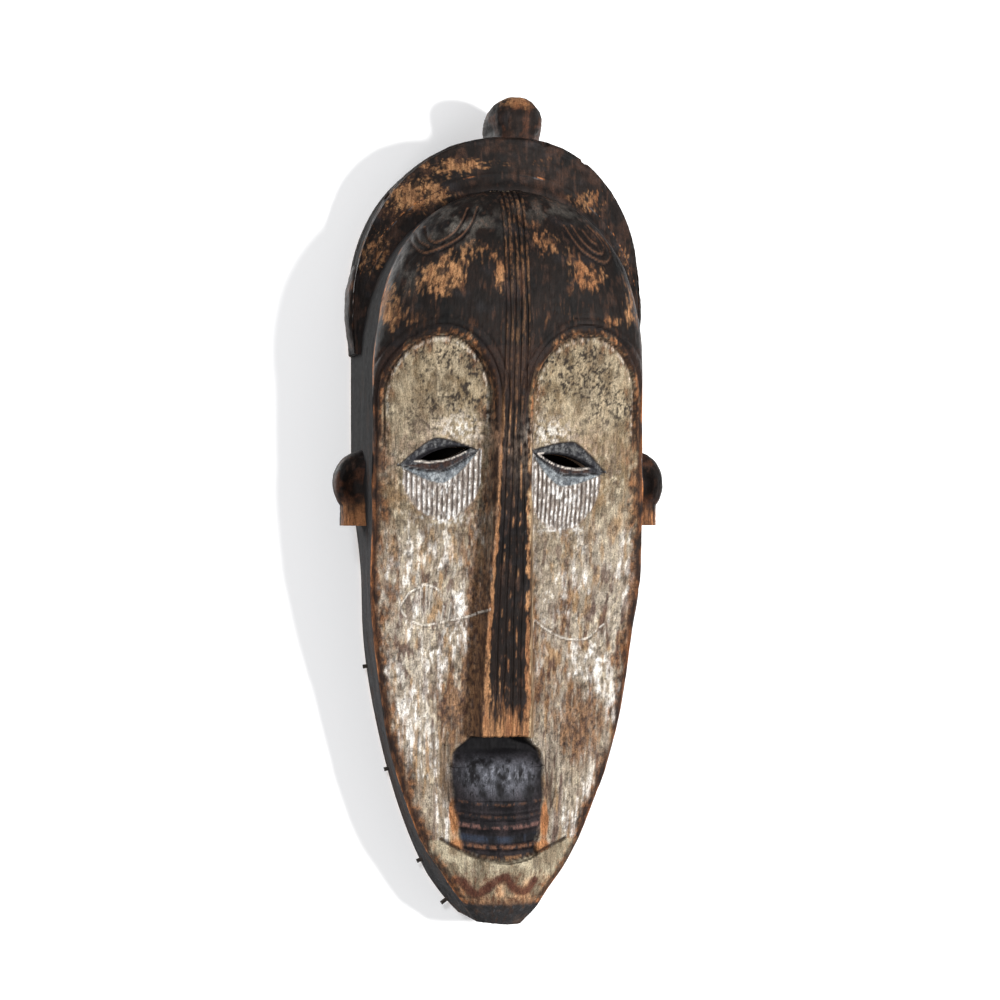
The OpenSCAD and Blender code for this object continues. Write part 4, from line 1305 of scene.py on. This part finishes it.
def flat_sheet(name, corners):
    mesh = bpy.data.meshes.new(name)
    mesh.from_pydata(corners, [], [tuple(range(len(corners)))])
    obj = bpy.data.objects.new(name, mesh)
    scene.collection.objects.link(obj)
    obj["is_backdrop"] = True
    return obj


def one_sided(name, colour, glow):
    """A matt sheet that is seen from its front only, so that the mask's back shows through it."""
    mat = bpy.data.materials.new(name)
    mat.use_nodes = True
    tree = mat.node_tree
    shader = tree.nodes["Principled BSDF"]
    shader.inputs["Base Color"].default_value = (*colour, 1)
    shader.inputs["Roughness"].default_value = 0.95
    shader.inputs["Specular IOR Level"].default_value = 0.0
    shader.inputs["Emission Color"].default_value = (1, 1, 1, 1)
    shader.inputs["Emission Strength"].default_value = glow
    clear = tree.nodes.new("ShaderNodeBsdfTransparent")
    both = tree.nodes.new("ShaderNodeMixShader")
    side = tree.nodes.new("ShaderNodeNewGeometry")
    tree.links.new(side.outputs["Backfacing"], both.inputs[0])
    tree.links.new(shader.outputs[0], both.inputs[1])
    tree.links.new(clear.outputs[0], both.inputs[2])
    tree.links.new(both.outputs[0], tree.nodes["Material Output"].inputs["Surface"])
    return mat


wall = flat_sheet("wall", [(-6, 0.0015, -6), (6, 0.0015, -6), (6, 0.0015, 6), (-6, 0.0015, 6)])
wall.data.materials.append(one_sided("wall_white", (0.84, 0.84, 0.845), 0.20))
# the dark that is seen through the eye slits
shade = flat_sheet("shade", [(-0.08, 0.0008, -0.28), (0.08, 0.0008, -0.28),
                             (0.08, 0.0008, -0.10), (-0.08, 0.0008, -0.10)])
shade.data.materials.append(one_sided("shade_black", (0.004, 0.004, 0.004), 0.0))
for sheet in (wall, shade):
    sheet.visible_shadow = False
wall.visible_glossy = False


def area_light(name, place, aim, size, power, colour=(1, 1, 1)):
    data = bpy.data.lights.new(name, "AREA")
    data.shape = "DISK"
    data.size = size
    data.energy = power
    data.color = colour
    obj = bpy.data.objects.new(name, data)
    scene.collection.objects.link(obj)
    obj.location = place
    obj.rotation_euler = (Vector(aim) - Vector(place)).to_track_quat("-Z", "Y").to_euler()
    obj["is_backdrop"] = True


middle = Vector((0, 0, -0.23))
area_light("key", (1.49, -2.49, -0.24), middle, 0.34, 128, (1.0, 0.985, 0.965))
area_light("fill", (-1.1, -2.4, 1.0), middle, 0.6, 26, (0.97, 0.98, 1.0))
area_light("fill_low", (-1.5, -1.7, -1.5), Vector((-0.2, 0, -0.4)), 1.0, 15, (0.98, 0.99, 1.0))
area_light("back_left", (-1.6, 1.9, 0.6), middle, 1.4, 60)
area_light("back_right", (1.8, 1.6, -0.2), middle, 1.4, 40)
world = bpy.data.worlds.new("room")
world.use_nodes = True
world.node_tree.nodes["Background"].inputs["Color"].default_value = (1, 1, 1, 1)
world.node_tree.nodes["Background"].inputs["Strength"].default_value = 0.42
scene.world = world
scene.view_settings.view_transform = "Standard"

CAM_TURN = math.radians(-9)  # the camera stands a little to the left of the mask
camera_data = bpy.data.cameras.new("camera")
camera_data.lens = 109.3
camera_data.sensor_width = 36
camera = bpy.data.objects.new("camera", camera_data)
scene.collection.objects.link(camera)
camera.location = (-0.3467, -2.2434, -0.224)
camera.rotation_euler = (math.pi / 2, 0, CAM_TURN)
scene.camera = camera

low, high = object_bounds()
